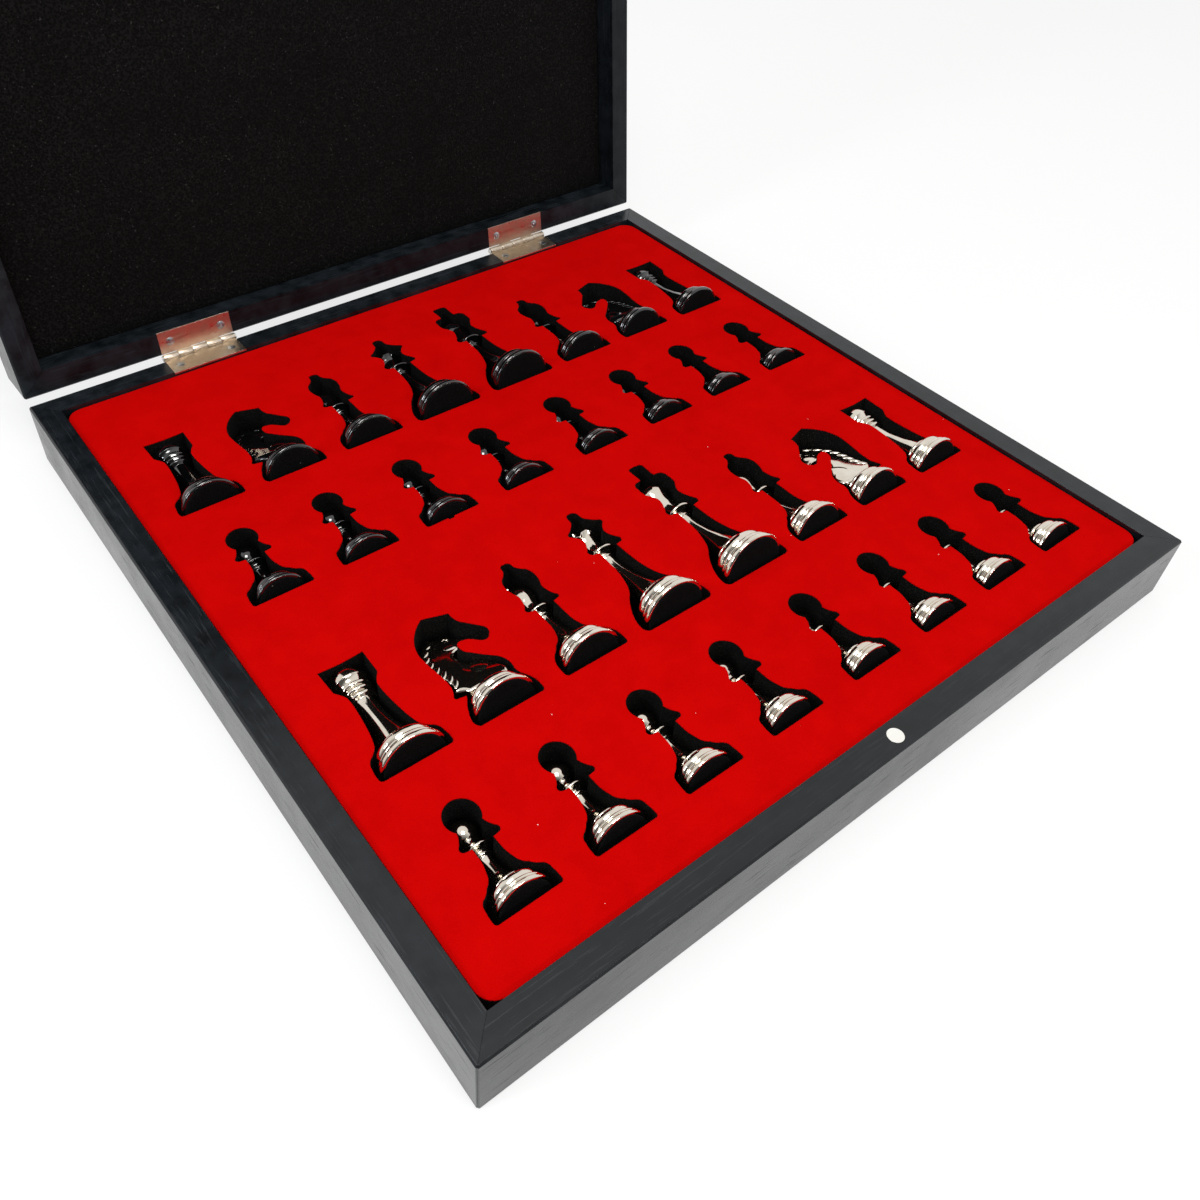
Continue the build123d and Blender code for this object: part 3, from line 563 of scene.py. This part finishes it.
def plated(name, colour, shade, roughness):
    """Plated metal with haze and hairline scratches."""
    material, tree, shader = new_material(name, Metallic=1.0)
    haze = use_group(tree, haze_group, {"Patch size": 220.0})["Haze"]
    scratches = use_group(tree, scratches_group, {"Density": 900.0})["Scratches"]
    worn = use_group(tree, wear_group, {"Amount": 0.5, "Patchiness": 500.0})["Worn"]
    base = blend_colour(tree, ramp(tree, haze, 0, 1, 0, 0.8), colour, shade)
    tree.links.new(blend_colour(tree, worn, base, PLATING_BRIGHT), shader.inputs["Base Color"])
    dull = maths(tree, "MULTIPLY_ADD", haze, 0.12, roughness)
    tree.links.new(maths(tree, "MULTIPLY_ADD", scratches, 0.08, dull), shader.inputs["Roughness"])
    bump(tree, shader, scratches, -0.002 * MM, 0.2)
    return material


magnet_plating = plated("Magnet plating", (0.95, 0.94, 0.89), (0.84, 0.82, 0.76), 0.28)
for catch in ("base_magnet", "lid_magnet"):
    finish_node(catch, magnet_plating, 0.15 * MM)

# Butt hinges: thin plated leaves rolled round a steel pin, let into shallow seats in the back
# rails. The plating is a pale brassy nickel, a little tarnished along the barrel.
hinge_plating = plated("Hinge plating", (0.58, 0.48, 0.37), (0.43, 0.34, 0.25), 0.27)
pin_steel = plated("Pin steel", (0.62, 0.6, 0.56), (0.4, 0.38, 0.35), 0.3)
for side in ("left", "right"):
    for leaf in ("base", "lid"):
        finish_node(f"{side}_hinge_{leaf}_leaf", hinge_plating, 0.12 * MM)
    finish_node(f"{side}_hinge_pin", pin_steel, 0.1 * MM)

# Hinge nails: two round-headed nails through each leaf, hammered home by hand. Their plating is
# darker and bluer than the hinges', and their heads stand a little proud of the leaf.
nail_plating = plated("Nail plating", (0.42, 0.45, 0.48), (0.28, 0.3, 0.32), 0.26)
for group_of_nails in ("base_hinge_nails", "lid_hinge_nails"):
    finish_node(group_of_nails, nail_plating, 0.05 * MM)

# Lid lining: one plain sheet of coarse charcoal foam, glued inside the lid to hold the men down.
# Its face is cut, not moulded, so it is speckled all over with open cells, and its edges are soft.
LINING_EDGE = 1.2 * MM
LINING_SWELL = 0.35 * MM
LINING_SWELLS_PER_METRE = 22
LINING_GRID = 90
HINGE_AXIS = Vector((0, 202.1, 34.15)) * MM
lining_foam = foam_material("Lining foam", 900.0, (0.05, 0.047, 0.046), 0.006)


def turned_shut(point, back=False):
    """A point of the open lid in the closed lid's place, or back again."""
    turn = Matrix.Rotation(radians(-OPEN_ANGLE if back else OPEN_ANGLE), 3, "X")
    return turn @ (Vector(point) - HINGE_AXIS) + HINGE_AXIS


def lining_mesh():
    """The pad, laid out shut as a fine grid with a soft edge and a slightly uneven face."""
    shut = [turned_shut(v.co) for v in nodes["lid_foam_lining"].data.vertices]
    low = Vector([min(p[k] for p in shut) for k in range(3)])
    high = Vector([max(p[k] for p in shut) for k in range(3)])
    steps = LINING_GRID
    made = bmesh.new()
    rows = []
    for j in range(steps + 1):
        row = []
        for i in range(steps + 1):
            x = low.x + (high.x - low.x) * i / steps
            y = low.y + (high.y - low.y) * j / steps
            near = min(x - low.x, high.x - x, y - low.y, high.y - y)
            fall = LINING_EDGE * max(0.0, 1 - near / (3 * LINING_EDGE)) ** 2
            swell = LINING_SWELL * (0.5 + 0.5 * noise.noise(Vector((x, y, 0.3)) * LINING_SWELLS_PER_METRE))
            row.append(made.verts.new((x, y, low.z + fall + swell)))
        rows.append(row)
    for j in range(steps):
        for i in range(steps):
            made.faces.new((rows[j][i], rows[j + 1][i], rows[j + 1][i + 1], rows[j][i + 1]))
    rim = [rows[0][i] for i in range(steps)] + [rows[j][steps] for j in range(steps)]
    rim += [rows[steps][i] for i in range(steps, 0, -1)] + [rows[j][0] for j in range(steps, 0, -1)]
    top = [made.verts.new((v.co.x, v.co.y, high.z)) for v in rim]
    count = len(rim)
    for k in range(count):
        made.faces.new((rim[k], rim[(k + 1) % count], top[(k + 1) % count], top[k]))
    made.faces.new(top)
    for vertex in made.verts:
        vertex.co = turned_shut(vertex.co, back=True)
    bmesh.ops.recalc_face_normals(made, faces=made.faces)
    mesh = bpy.data.meshes.new("lid_lining")
    made.to_mesh(mesh)
    made.free()
    return mesh


lid_lining = show("lid_lining", lining_mesh(), lining_foam, "lid", sharp=50)
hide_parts("lid_foam_lining")

# Chessmen, turned parts: metal castings, polished and then chromed for one side and lacquered
# black for the other. Every man has the same foot: a rim, a fine ring, a full round and a small
# ring, and then its stem, collar and head. Each lies on its side, foot towards the front.
MODEL_BASE = 15.0  # the foot radius that the mouldings are drawn for
FOOT_HEIGHT = 1.7
FELT, FELT_MARGIN = 0.8, 1.3
REST_CLEARANCE, FRONT_CLEARANCE = 0.3, 0.3
BASES = {"pawn": 12.6, "rook": 15.0, "knight": 14.9, "bishop": 14.9, "queen": 16.6, "king": 17.1}


def base_mouldings(radius):
    """The foot mouldings of a man with this base radius."""
    k = radius / MODEL_BASE
    steps = [
        (0, 0, 0), (14.4, 0, 0), (15.0, 0.6, 0.1), (15.0, 1.7, 0), (14.3, 2.4, 0.1),
        (13.5, 2.7, 0), (13.9, 3.1, 0), (13.9, 4.2, 0.25), (13.0, 4.7, 0), (12.6, 5.1, 0),
        (11.0, 9.2, 1.3), (9.4, 9.7, 0), (9.0, 10.2, 0), (8.8, 11.8, 0.55), (7.8, 12.2, 0),
    ]
    return [(r * k, h * k, b * k) for r, h, b in steps]


def ball(radius, centre, neck):
    """The end of an outline: a ball that rises from a neck."""
    below = (radius**2 - neck**2) ** 0.5
    half_chord = hypot(neck, below + radius) / 2
    return [(neck, centre - below, 0), (0, centre + radius, radius - (radius**2 - half_chord**2) ** 0.5)]


TURNED = {
    "pawn": base_mouldings(BASES["pawn"]) + [
        (5.9, 10.6, 0), (3.2, 24.2, -1.3), (4.0, 24.6, 0), (4.0, 25.6, 0.3), (3.4, 26.0, 0),
        (6.8, 27.2, -0.4), (6.8, 28.3, 0.35), (4.8, 29.6, -0.3), (4.2, 30.8, 0), (3.4, 31.4, 0),
    ] + ball(6.1, 38.8, 3.3),
    "rook": base_mouldings(BASES["rook"]) + [
        (7.3, 12.6, 0), (4.8, 38.6, -1.2), (6.2, 39.2, 0), (6.2, 41.0, 0.5), (5.5, 41.4, 0),
        (6.9, 41.9, 0), (6.9, 43.6, 0.5), (6.1, 44.0, 0), (7.5, 44.5, 0), (7.5, 46.2, 0.5),
        (6.8, 46.6, 0), (8.8, 49.4, -0.4), (8.8, 54.6, 0), (6.3, 54.6, 0), (6.3, 50.8, 0), (0, 50.8, 0),
    ],
    "bishop": base_mouldings(BASES["bishop"]) + [
        (7.2, 12.5, 0), (3.4, 33.0, -1.5), (4.3, 33.4, 0), (4.3, 34.3, 0.3), (3.8, 34.6, 0),
        (7.5, 35.6, -0.4), (7.5, 36.8, 0.35), (5.2, 38.4, -0.4), (4.4, 42.0, -0.2), (4.6, 43.8, 0),
        (6.8, 51.0, 0.5), (2.0, 59.4, 1.1),
    ] + ball(2.0, 61.3, 1.3),
    "queen": base_mouldings(BASES["queen"]) + [
        (8.0, 13.9, 0), (3.9, 45.2, -1.9), (4.5, 45.6, 0), (4.5, 46.6, 0.25), (4.1, 47.0, 0),
        (8.1, 48.0, -0.4), (8.1, 49.2, 0.35), (5.6, 50.9, -0.5), (4.7, 55.6, -0.2), (5.2, 57.4, 0),
        (8.6, 62.4, -0.8), (8.3, 63.6, 0.2), (6.9, 64.0, 0), (4.6, 66.6, 0.3), (2.5, 68.8, -0.2),
    ] + ball(2.4, 71.4, 1.6),
    "king": base_mouldings(BASES["king"]) + [
        (8.3, 14.2, 0), (4.0, 45.4, -1.9), (4.6, 45.8, 0), (4.6, 46.8, 0.25), (4.2, 47.2, 0),
        (8.5, 48.2, -0.4), (8.5, 49.5, 0.35), (5.9, 51.3, -0.5), (4.9, 56.8, -0.2), (5.5, 58.6, 0),
        (8.2, 66.8, -0.6), (8.2, 69.2, 0.15), (6.8, 71.6, 0.4), (2.4, 73.8, 0.4), (0, 74.2, 0),
    ],
    "knight": base_mouldings(BASES["knight"]) + [(7.4, 13.0, 0), (0, 13.0, 0)],
}
CROSS = [
    (1.7, 73.0, 0), (1.1, 76.6, -0.1), (3.3, 75.9, 0), (3.3, 80.0, 0), (1.1, 79.4, 0),
    (1.9, 82.6, 0), (0, 82.6, 0),
]
CROSS_THICKNESS, CROSS_EASE = 2.6, 0.35
CRENEL_WIDTH, CRENEL_FLOOR, CRENEL_TURNS = 2.4, 51.9, (0, 60, 120)
SAW_LENGTH, SAW_DEPTH = 20, 4
MITRE_CUT, MITRE_SLANT, MITRE_HEIGHT, MITRE_REACH = 1.2, 38, 55.0, 14
SCALLOPS, SCALLOP_DIP, SCALLOP_DEPTH, CORONET = 8, 1.1, 0.35, (60.5, 65.0)
CASTING_EASE = 0.22
EASED_FROM = radians(25)
TURNED_FACETS = 96


def turning(way_in, way_out):
    """How far a path turns from one run to the next, either way."""
    cross = way_in[0] * way_out[1] - way_in[1] * way_out[0]
    along_both = way_in[0] * way_out[0] + way_in[1] * way_out[1]
    return abs(atan2(cross, along_both))


def eased(points, width):
    """An open profile whose corners are cut back a little on both runs, as polishing leaves them."""
    made = [points[0]]
    for before, here, after in zip(points, points[1:], points[2:]):
        way_in = (here[0] - before[0], here[1] - before[1])
        way_out = (after[0] - here[0], after[1] - here[1])
        long_in, long_out = hypot(*way_in), hypot(*way_out)
        if turning(way_in, way_out) < EASED_FROM:
            made.append(here)
            continue
        cut = min(width, 0.35 * long_in, 0.35 * long_out)
        first = (here[0] - way_in[0] / long_in * cut, here[1] - way_in[1] / long_in * cut)
        last = (here[0] + way_out[0] / long_out * cut, here[1] + way_out[1] / long_out * cut)
        middle = ((first[0] + 2 * here[0] + last[0]) / 4, (first[1] + 2 * here[1] + last[1]) / 4)
        made += [first, middle, last]
    return made + [points[-1]]


def turn_on_lathe(profile, shape=None):
    """A closed turned mesh along +Y from (radius, height) points, in millimetres."""
    made = bmesh.new()
    rings = []
    for r, h in profile:
        if r < 1e-6:
            rings.append([made.verts.new((0, h, 0))])
            continue
        ring = []
        for k in range(TURNED_FACETS):
            turn = 2 * pi * k / TURNED_FACETS
            rr, hh = shape(r, h, turn) if shape else (r, h)
            ring.append(made.verts.new((rr * cos(turn), hh, rr * sin(turn))))
        rings.append(ring)
    for low, high in zip(rings, rings[1:]):
        for k in range(TURNED_FACETS):
            after = (k + 1) % TURNED_FACETS
            under = [low[k % len(low)], low[after % len(low)]]
            over = [high[after % len(high)], high[k % len(high)]]
            made.faces.new(list(dict.fromkeys(under + over)))
    bmesh.ops.recalc_face_normals(made, faces=made.faces)
    return made


def to_mesh(made, name):
    """A mesh of this name from a finished build."""
    mesh = bpy.data.meshes.new(name)
    made.to_mesh(mesh)
    made.free()
    return mesh


def carve(mesh, cutters):
    """Cuts closed meshes out of a mesh."""
    block = bpy.data.objects.new("block", mesh)
    bpy.context.scene.collection.objects.link(block)
    tools = []
    for cutter in cutters:
        tool = bpy.data.objects.new("tool", cutter)
        bpy.context.scene.collection.objects.link(tool)
        tool.hide_render = True
        cut = block.modifiers.new("cut", "BOOLEAN")
        cut.operation = "DIFFERENCE"
        cut.solver = "EXACT"
        cut.object = tool
        tools.append(tool)
    bpy.context.view_layer.update()
    result = baked(block)
    for used in tools + [block]:
        bpy.data.objects.remove(used)
    return result


def bar(size, place=(0, 0, 0), turn=(0, 0, 0)):
    """A small box mesh to cut with."""
    made = bmesh.new()
    bmesh.ops.create_cube(made, size=1.0, matrix=Matrix.Diagonal((*size, 1)))
    made.transform(Matrix.Translation(place) @ Euler(turn).to_matrix().to_4x4())
    return to_mesh(made, "bar")


def join(meshes, name):
    """One mesh from several."""
    made = bmesh.new()
    for mesh in meshes:
        made.from_mesh(mesh)
    return to_mesh(made, name)


def turned_mesh(kind, shape=None):
    """A man's turned part."""
    profile = eased(outline(TURNED[kind], closed=False), CASTING_EASE)
    return to_mesh(turn_on_lathe(profile, shape), kind)


def rook_mesh():
    """Six crenels, made by three saw cuts right across the parapet."""
    cuts = []
    for turn in CRENEL_TURNS:
        cut = bar((SAW_LENGTH, SAW_DEPTH, CRENEL_WIDTH), (0, CRENEL_FLOOR + SAW_DEPTH / 2, 0))
        cut.transform(Matrix.Rotation(radians(turn), 4, "Y"))
        cuts.append(cut)
    return carve(turned_mesh("rook"), cuts)


def bishop_mesh():
    """The slanted cut in the mitre."""
    cut = bar((MITRE_REACH, MITRE_CUT, 2 * MITRE_REACH), (MITRE_REACH / 2, 0, 0))
    cut.transform(Matrix.Translation((0, MITRE_HEIGHT, 0)) @ Matrix.Rotation(radians(MITRE_SLANT), 4, "Z"))
    return carve(turned_mesh("bishop"), [cut])


def queen_mesh():
    """Eight scallops round the coronet's rim."""
    def scallop(r, h, turn):
        if CORONET[0] < h < CORONET[1] and r > 6.0:
            dip = max(0.0, cos(SCALLOPS * turn + pi)) ** 1.5
            return r - SCALLOP_DEPTH * dip, h - SCALLOP_DIP * dip * min(1.0, (h - CORONET[0]) / 2)
        return r, h
    return turned_mesh("queen", scallop)


def king_mesh():
    """The cross cast in one with the crown."""
    half = CROSS_THICKNESS / 2
    cross = die_cut("cross", [outline(both_sides(CROSS))], -half, half, CROSS_EASE)
    return join([turned_mesh("king"), cross], "king")


def pawn_mesh():
    """The plain turned pawn."""
    return turned_mesh("pawn")


MAKERS = {
    "pawn": pawn_mesh, "rook": rook_mesh, "bishop": bishop_mesh, "queen": queen_mesh, "king": king_mesh,
}

# Knights: the same foot under a carved horse's head. The neck is thick at the chest and thin at
# the ears, with a mane of combed locks down the back, a round cheek, an eye, and a cut muzzle.
KNIGHT_HEAD = [
    (9.0, 11.0, 0), (10.6, 13.0, 0.2), (11.2, 16.2, 0.1), (8.4, 21.4, 0.5), (1.0, 28.6, -0.2),
    (-1.2, 34.4, -0.5), (1.2, 38.6, -0.9), (5.0, 38.6, -0.6), (8.4, 36.2, -0.2), (11.4, 35.2, 0.3),
    (14.0, 37.4, 0.7), (12.6, 40.2, 0.3), (6.4, 46.8, 0), (5.2, 51.0, -0.3), (-1.8, 52.2, 0),
    (-4.4, 54.4, -0.3), (-6.4, 52.0, 0), (-10.6, 47.4, 0.5), (-14.0, 38.0, 0.8), (-12.8, 26.0, 0.2),
    (-12.4, 19.0, -0.2), (-13.6, 15.2, -0.2), (-9.8, 13.4, 0), (-9.0, 11.0, 0),
]
CHEST_HALF, EARS_HALF = 7.5, 4.0
CHEST_LEVEL, EARS_LEVEL = 11.0, 54.4
CARVING_EDGE = 1.9
CARVING_BLANK = 10.0  # half the thickness of the plain head before it is thinned
MOUTH_CUT, MOUTH_PLACE, MOUTH_SLANT = (6.0, 0.45, 20.0), (12.0, 36.9, 0), 28
MANE_CREST = [
    (-5.0, 50.0), (-8.6, 46.0), (-10.8, 41.6), (-11.6, 37.0),
    (-11.4, 32.4), (-10.8, 28.0), (-10.4, 23.6), (-10.6, 19.4),
]
LOCK_SIZE, LOCK_SUNK, LOCK_SLANT, LOCK_TURN = (3.2, 1.25, 0.75), 0.25, 38, 3
FLESH = {
    # place along and up the head, level of the thickness, how far sunk, half sizes, slant
    "cheek": (1.6, 43.2, 43, 0.6, (4.3, 3.7, 1.2), 20),
    "eye": (3.0, 48.2, 48, 0.15, (1.0, 0.75, 0.5), 10),
    "brow": (2.6, 49.3, 49, 0.2, (2.0, 0.45, 0.55), 18),
    "nostril": (11.6, 38.9, 39, 0.9, (1.2, 0.8, 0.9), 50),
    "breast": (2.5, 21.5, 21, 1.2, (5.5, 7.0, 1.6), -30),
    "ear": (-3.6, 52.6, 53, 0.9, (1.0, 2.0, 1.0), 20),
}


def half_thickness(height):
    """Half the figure's thickness, from the chest to the ears."""
    share = (height - CHEST_LEVEL) / (EARS_LEVEL - CHEST_LEVEL)
    return CHEST_HALF + share * (EARS_HALF - CHEST_HALF)


def swelling(centre, size, slant):
    """A flattened round of flesh on the carving."""
    made = bmesh.new()
    bmesh.ops.create_uvsphere(made, u_segments=28, v_segments=16, radius=1.0)
    turn = Matrix.Rotation(radians(slant), 4, "Z")
    made.transform(Matrix.Translation(centre) @ turn @ Matrix.Diagonal((*size, 1)))
    return to_mesh(made, "swelling")


def mane():
    """Combed locks down the back of the neck, on both sides of the carving."""
    made = []
    for k, (x, y) in enumerate(MANE_CREST):
        for side in (-1, 1):
            depth = side * (half_thickness(y) - LOCK_SUNK)
            made.append(swelling((x, y, depth), LOCK_SIZE, LOCK_SLANT + LOCK_TURN * k))
    return made


def knight_mesh(facing):
    """The carved head on its foot, facing +X, or turned about to face -X."""
    head = die_cut("horse", [outline(KNIGHT_HEAD)], -CARVING_BLANK, CARVING_BLANK, CARVING_EDGE)
    for vertex in head.vertices:
        vertex.co.z *= half_thickness(vertex.co.y) / CARVING_BLANK
    details = mane()
    for side in (-1, 1):
        for x, y, level, sunk, size, slant in FLESH.values():
            details.append(swelling((x, y, side * (half_thickness(level) - sunk)), size, slant))
    mouth = bar(MOUTH_CUT, MOUTH_PLACE, (0, 0, radians(MOUTH_SLANT)))
    carved = carve(head, [mouth])
    whole = join([turned_mesh("knight"), carved] + details, "knight")
    if facing < 0:
        whole.transform(Matrix.Rotation(pi, 4, "Y"))
    return whole


# Finished castings, laid in: each is hand polished, then chromed or covered in thick gloss lacquer.
# It lies loose in its own pocket, tilted so that its foot and its head both just clear the foam.
def lean(kind):
    """The angle at which a man lies: foot and head both just clear the pocket floor."""
    base = BASES[kind]
    foot = FOOT_HEIGHT * base / MODEL_BASE
    points = outline(TURNED[kind], closed=False)
    if kind == "knight":
        points = [(half_thickness(h), h) for _, h, _ in KNIGHT_HEAD]
    return min(atan2(base - r, h - foot) for r, h in points if h > base)


def laid(kind, x, front):
    """The matrix that lays a man in the pocket whose front edge is at this place, in metres."""
    base, angle = BASES[kind], lean(kind)
    foot = FOOT_HEIGHT * base / MODEL_BASE
    back_off = FRONT_CLEARANCE + FELT * cos(angle) + (base - FELT_MARGIN) * sin(angle)
    rise = base * cos(angle) + foot * sin(angle) + REST_CLEARANCE
    place = Matrix.Translation((x, front + back_off, underlay_high.z / MM + rise))
    return Matrix.Scale(MM, 4) @ place @ Matrix.Rotation(-angle, 4, "X")


def casting_ripple():
    """The faint unevenness of a hand-polished casting, as a height."""
    group, source, sink = new_group(
        "Casting ripple", [("NodeSocketFloat", "Ripple density", 260.0)], [("NodeSocketFloat", "Height")]
    )
    wave = mottle(group, on_piece(group), source["Ripple density"], Detail=2.0, Roughness=0.4)
    group.links.new(wave, sink["Height"])
    return group


ripple_group = casting_ripple()
CHROME, CHROME_SHADE = (0.75, 0.7, 0.61), (0.61, 0.545, 0.45)
LACQUER = (0.0008, 0.0009, 0.0011)
LACQUER_HAZE = (0.0016, 0.0019, 0.0023)
LACQUER_WORN = (0.02, 0.024, 0.028)
LINT_ON_LACQUER = (0.25, 0.24, 0.22)
RIPPLE_DENSITY, RIPPLE_DEPTH = 120.0, 0.04 * MM


def rippled(tree, shader):
    """Gives a casting's shader its faint ripple."""
    height = use_group(tree, ripple_group, {"Ripple density": RIPPLE_DENSITY})["Height"]
    bump(tree, shader, height, RIPPLE_DEPTH, 0.3)


def chromed():
    """Bright chrome over a warm nickel, hand polished."""
    material, tree, shader = new_material("Chromed casting", Metallic=1.0)
    haze = use_group(tree, haze_group, {"Patch size": 180.0})["Haze"]
    scratches = use_group(tree, scratches_group, {"Density": 1100.0})["Scratches"]
    tint = blend_colour(tree, ramp(tree, haze, 0, 1, 0, 0.7), CHROME, CHROME_SHADE)
    tree.links.new(tint, shader.inputs["Base Color"])
    dull = maths(tree, "MULTIPLY_ADD", haze, 0.04, 0.07)
    tree.links.new(maths(tree, "MULTIPLY_ADD", scratches, 0.03, dull), shader.inputs["Roughness"])
    rippled(tree, shader)
    return material


def black_lacquered():
    """Thick gloss black lacquer over the casting."""
    material, tree, shader = new_material(
        "Black lacquered casting", IOR=1.5, Specular_IOR_Level=0.5, Coat_Weight=1.0, Coat_Roughness=0.03
    )
    haze = use_group(tree, haze_group, {"Patch size": 160.0})["Haze"]
    worn = use_group(tree, wear_group, {"Amount": 0.35, "Patchiness": 600.0})["Worn"]
    lint = use_group(tree, lint_group, {"Speck density": 420.0, "Speck size": 0.05})["Lint"]
    rubbed = blend_colour(tree, worn, blend_colour(tree, haze, LACQUER, LACQUER_HAZE), LACQUER_WORN)
    tree.links.new(blend_colour(tree, lint, rubbed, LINT_ON_LACQUER), shader.inputs["Base Color"])
    tree.links.new(ramp(tree, haze, 0, 1, 0.04, 0.08), shader.inputs["Roughness"])
    rippled(tree, shader)
    return material


castings = {"silver": chromed(), "black": black_lacquered()}
models = {}
for name, kind, x, front, facing in places():
    side_name = name.split("_")[0]
    key = (kind, facing) if kind == "knight" else kind
    if key not in models:
        models[key] = knight_mesh(facing) if kind == "knight" else MAKERS[kind]()
    mesh = models[key].copy()
    mesh.transform(laid(kind, x, front))
    man = show(f"{name}_casting", mesh, castings[side_name], name, sharp=40)
    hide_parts(name)

# Felts: black felt discs glued under the feet, cut slightly smaller than the foot, so that a ring
# of bare metal shows round each. They are furry at the edge and pick up lint.
FELT_BLACK = (0.0012, 0.0012, 0.0013)
FELT_FIBRE = (0.006, 0.006, 0.0065)
LINT_ON_FELT = (0.12, 0.11, 0.1)
FELT_SOFT_EDGE = 0.3
FELT_DISH = 0.12


def felt_material():
    """Black felt with a loose fibrous face."""
    material, tree, shader = new_material(
        "Black felt", Roughness=1.0, Specular_IOR_Level=0.02, Sheen_Weight=0.006, Sheen_Roughness=0.6
    )
    fibres = mottle(tree, on_piece(tree), 1800.0, Detail=3.0, Distortion=1.5)
    lint = use_group(tree, lint_group, {"Speck density": 300.0, "Speck size": 0.07})["Lint"]
    tone = blend_colour(tree, ramp(tree, fibres, 0.35, 0.7), FELT_BLACK, FELT_FIBRE)
    tree.links.new(blend_colour(tree, lint, tone, LINT_ON_FELT), shader.inputs["Base Color"])
    bump(tree, shader, fibres, 0.2 * MM, 0.8)
    return material


black_felt = felt_material()


def felt_mesh(radius):
    """A disc with a soft edge and a slightly dished middle."""
    soft = FELT_SOFT_EDGE
    face = [(radius * share, FELT_DISH * (1 - share) - FELT) for share in (0, 0.2, 0.5, 0.8)]
    edge = [(radius - soft, -FELT), (radius - soft / 3, soft / 3 - FELT), (radius, soft - FELT)]
    return to_mesh(turn_on_lathe(face + edge + [(radius, 0), (0, 0)]), "felt")


for name, kind, x, front, facing in places():
    mesh = felt_mesh(BASES[kind] - FELT_MARGIN)
    mesh.transform(laid(kind, x, front))
    show(f"{name}_felt", mesh, black_felt, name, sharp=60)

# Table, lamps and camera: a plain white sweep under a soft overhead light with a
# cool window to the left, seen from above the case's front left corner.
TABLE_WHITE = (0.9, 0.9, 0.9)
FILL_LIGHT = 0.55
ROOM_SIDE = (-0.6, -0.8, 0.1)  # the unlit part of the room, behind the camera
ROOM_DIMNESS = 0.1
TABLE_GLOW = 0.72
TABLE_REACH = 6.0


def table_material():
    """White that stays white to the eye and in reflections, but takes the case's shadow."""
    material = bpy.data.materials.new("White sweep")
    material.use_nodes = True
    tree = material.node_tree
    tree.nodes.clear()
    out = put(tree, "OutputMaterial")
    lit = put(tree, "BsdfDiffuse", {"Color": (*TABLE_WHITE, 1)})
    glow = put(tree, "Emission", {"Color": (1, 1, 1, 1), "Strength": 1.0})
    seen = put(tree, "LightPath")
    either = maths(tree, "MAXIMUM", seen.outputs["Is Camera Ray"], seen.outputs["Is Glossy Ray"])
    share = maths(tree, "MULTIPLY", either, TABLE_GLOW)
    mix = put(tree, "MixShader", {0: share, 1: lit.outputs[0], 2: glow.outputs[0]})
    tree.links.new(mix.outputs[0], out.inputs["Surface"])
    return material


table = bpy.data.meshes.new("table")
corners = [(x * TABLE_REACH, y * TABLE_REACH, 0) for x, y in ((-1, -1), (1, -1), (1, 1), (-1, 1))]
table.from_pydata(corners, [], [(0, 1, 2, 3)])
table.materials.append(table_material())
table_top = bpy.data.objects.new("table_top", table)
bpy.context.scene.collection.objects.link(table_top)
table_top.location.z = -0.5 * MM

world = bpy.data.worlds.new("Studio")
bpy.context.scene.world = world
world.use_nodes = True
sky = world.node_tree
sky.nodes.clear()
seen = put(sky, "LightPath")
glossy = seen.outputs["Is Glossy Ray"]
direct = maths(sky, "MAXIMUM", seen.outputs["Is Camera Ray"], glossy)
through = maths(sky, "MAXIMUM", direct, seen.outputs["Is Transmission Ray"])
where = put(sky, "TexCoord").outputs["Generated"]
towards = put(sky, "VectorMath", {0: where, 1: ROOM_SIDE}, operation="DOT_PRODUCT").outputs["Value"]
room = ramp(sky, towards, 0.1, 0.75, 1.0, ROOM_DIMNESS)
bright = maths(sky, "ADD", maths(sky, "SUBTRACT", through, glossy), maths(sky, "MULTIPLY", glossy, room))
fill = maths(sky, "SUBTRACT", 1.0, through)
strength = maths(sky, "MULTIPLY_ADD", fill, FILL_LIGHT, bright)
backdrop = put(sky, "Background", {"Color": (1, 1, 1, 1), "Strength": strength})
put(sky, "OutputWorld", {"Surface": backdrop.outputs[0]})


def lamp(name, place, target, size, watts, colour):
    """A soft rectangular lamp aimed at a point."""
    data = bpy.data.lights.new(name, "AREA")
    data.shape = "RECTANGLE"
    data.size, data.size_y = size
    data.energy = watts
    data.color = colour
    lamp_object = bpy.data.objects.new(name, data)
    lamp_object.location = place
    lamp_object.rotation_euler = (Vector(target) - Vector(place)).to_track_quat("-Z", "Y").to_euler()
    bpy.context.scene.collection.objects.link(lamp_object)


lamp("Overhead softbox", (-0.2, -0.3, 1.6), (0, 0, 0), (0.55, 0.55), 14, (1.0, 0.985, 0.96))
lamp("Left window", (-1.3, 0.1, 0.9), (0, 0, 0.03), (0.3, 0.4), 7, (0.86, 0.93, 1.0))
lamp("Front strip", (0.2, -1.4, 0.9), (0, 0, 0.03), (0.6, 0.1), 5, (1.0, 0.98, 0.95))

camera_data = bpy.data.cameras.new("Camera")
camera_data.lens = 32.43
camera_data.sensor_width = 36.0
camera_data.shift_x = 0.0441
camera_data.shift_y = -0.0478
camera_data.clip_start = 0.01
camera = bpy.data.objects.new("Camera", camera_data)
camera.location = (-0.2691, -0.3054, 0.3697)
camera.rotation_euler = (radians(46.545), radians(-2.092), radians(-37.201))
bpy.context.scene.collection.objects.link(camera)
bpy.context.scene.camera = camera
bpy.context.scene.view_settings.view_transform = "Standard"
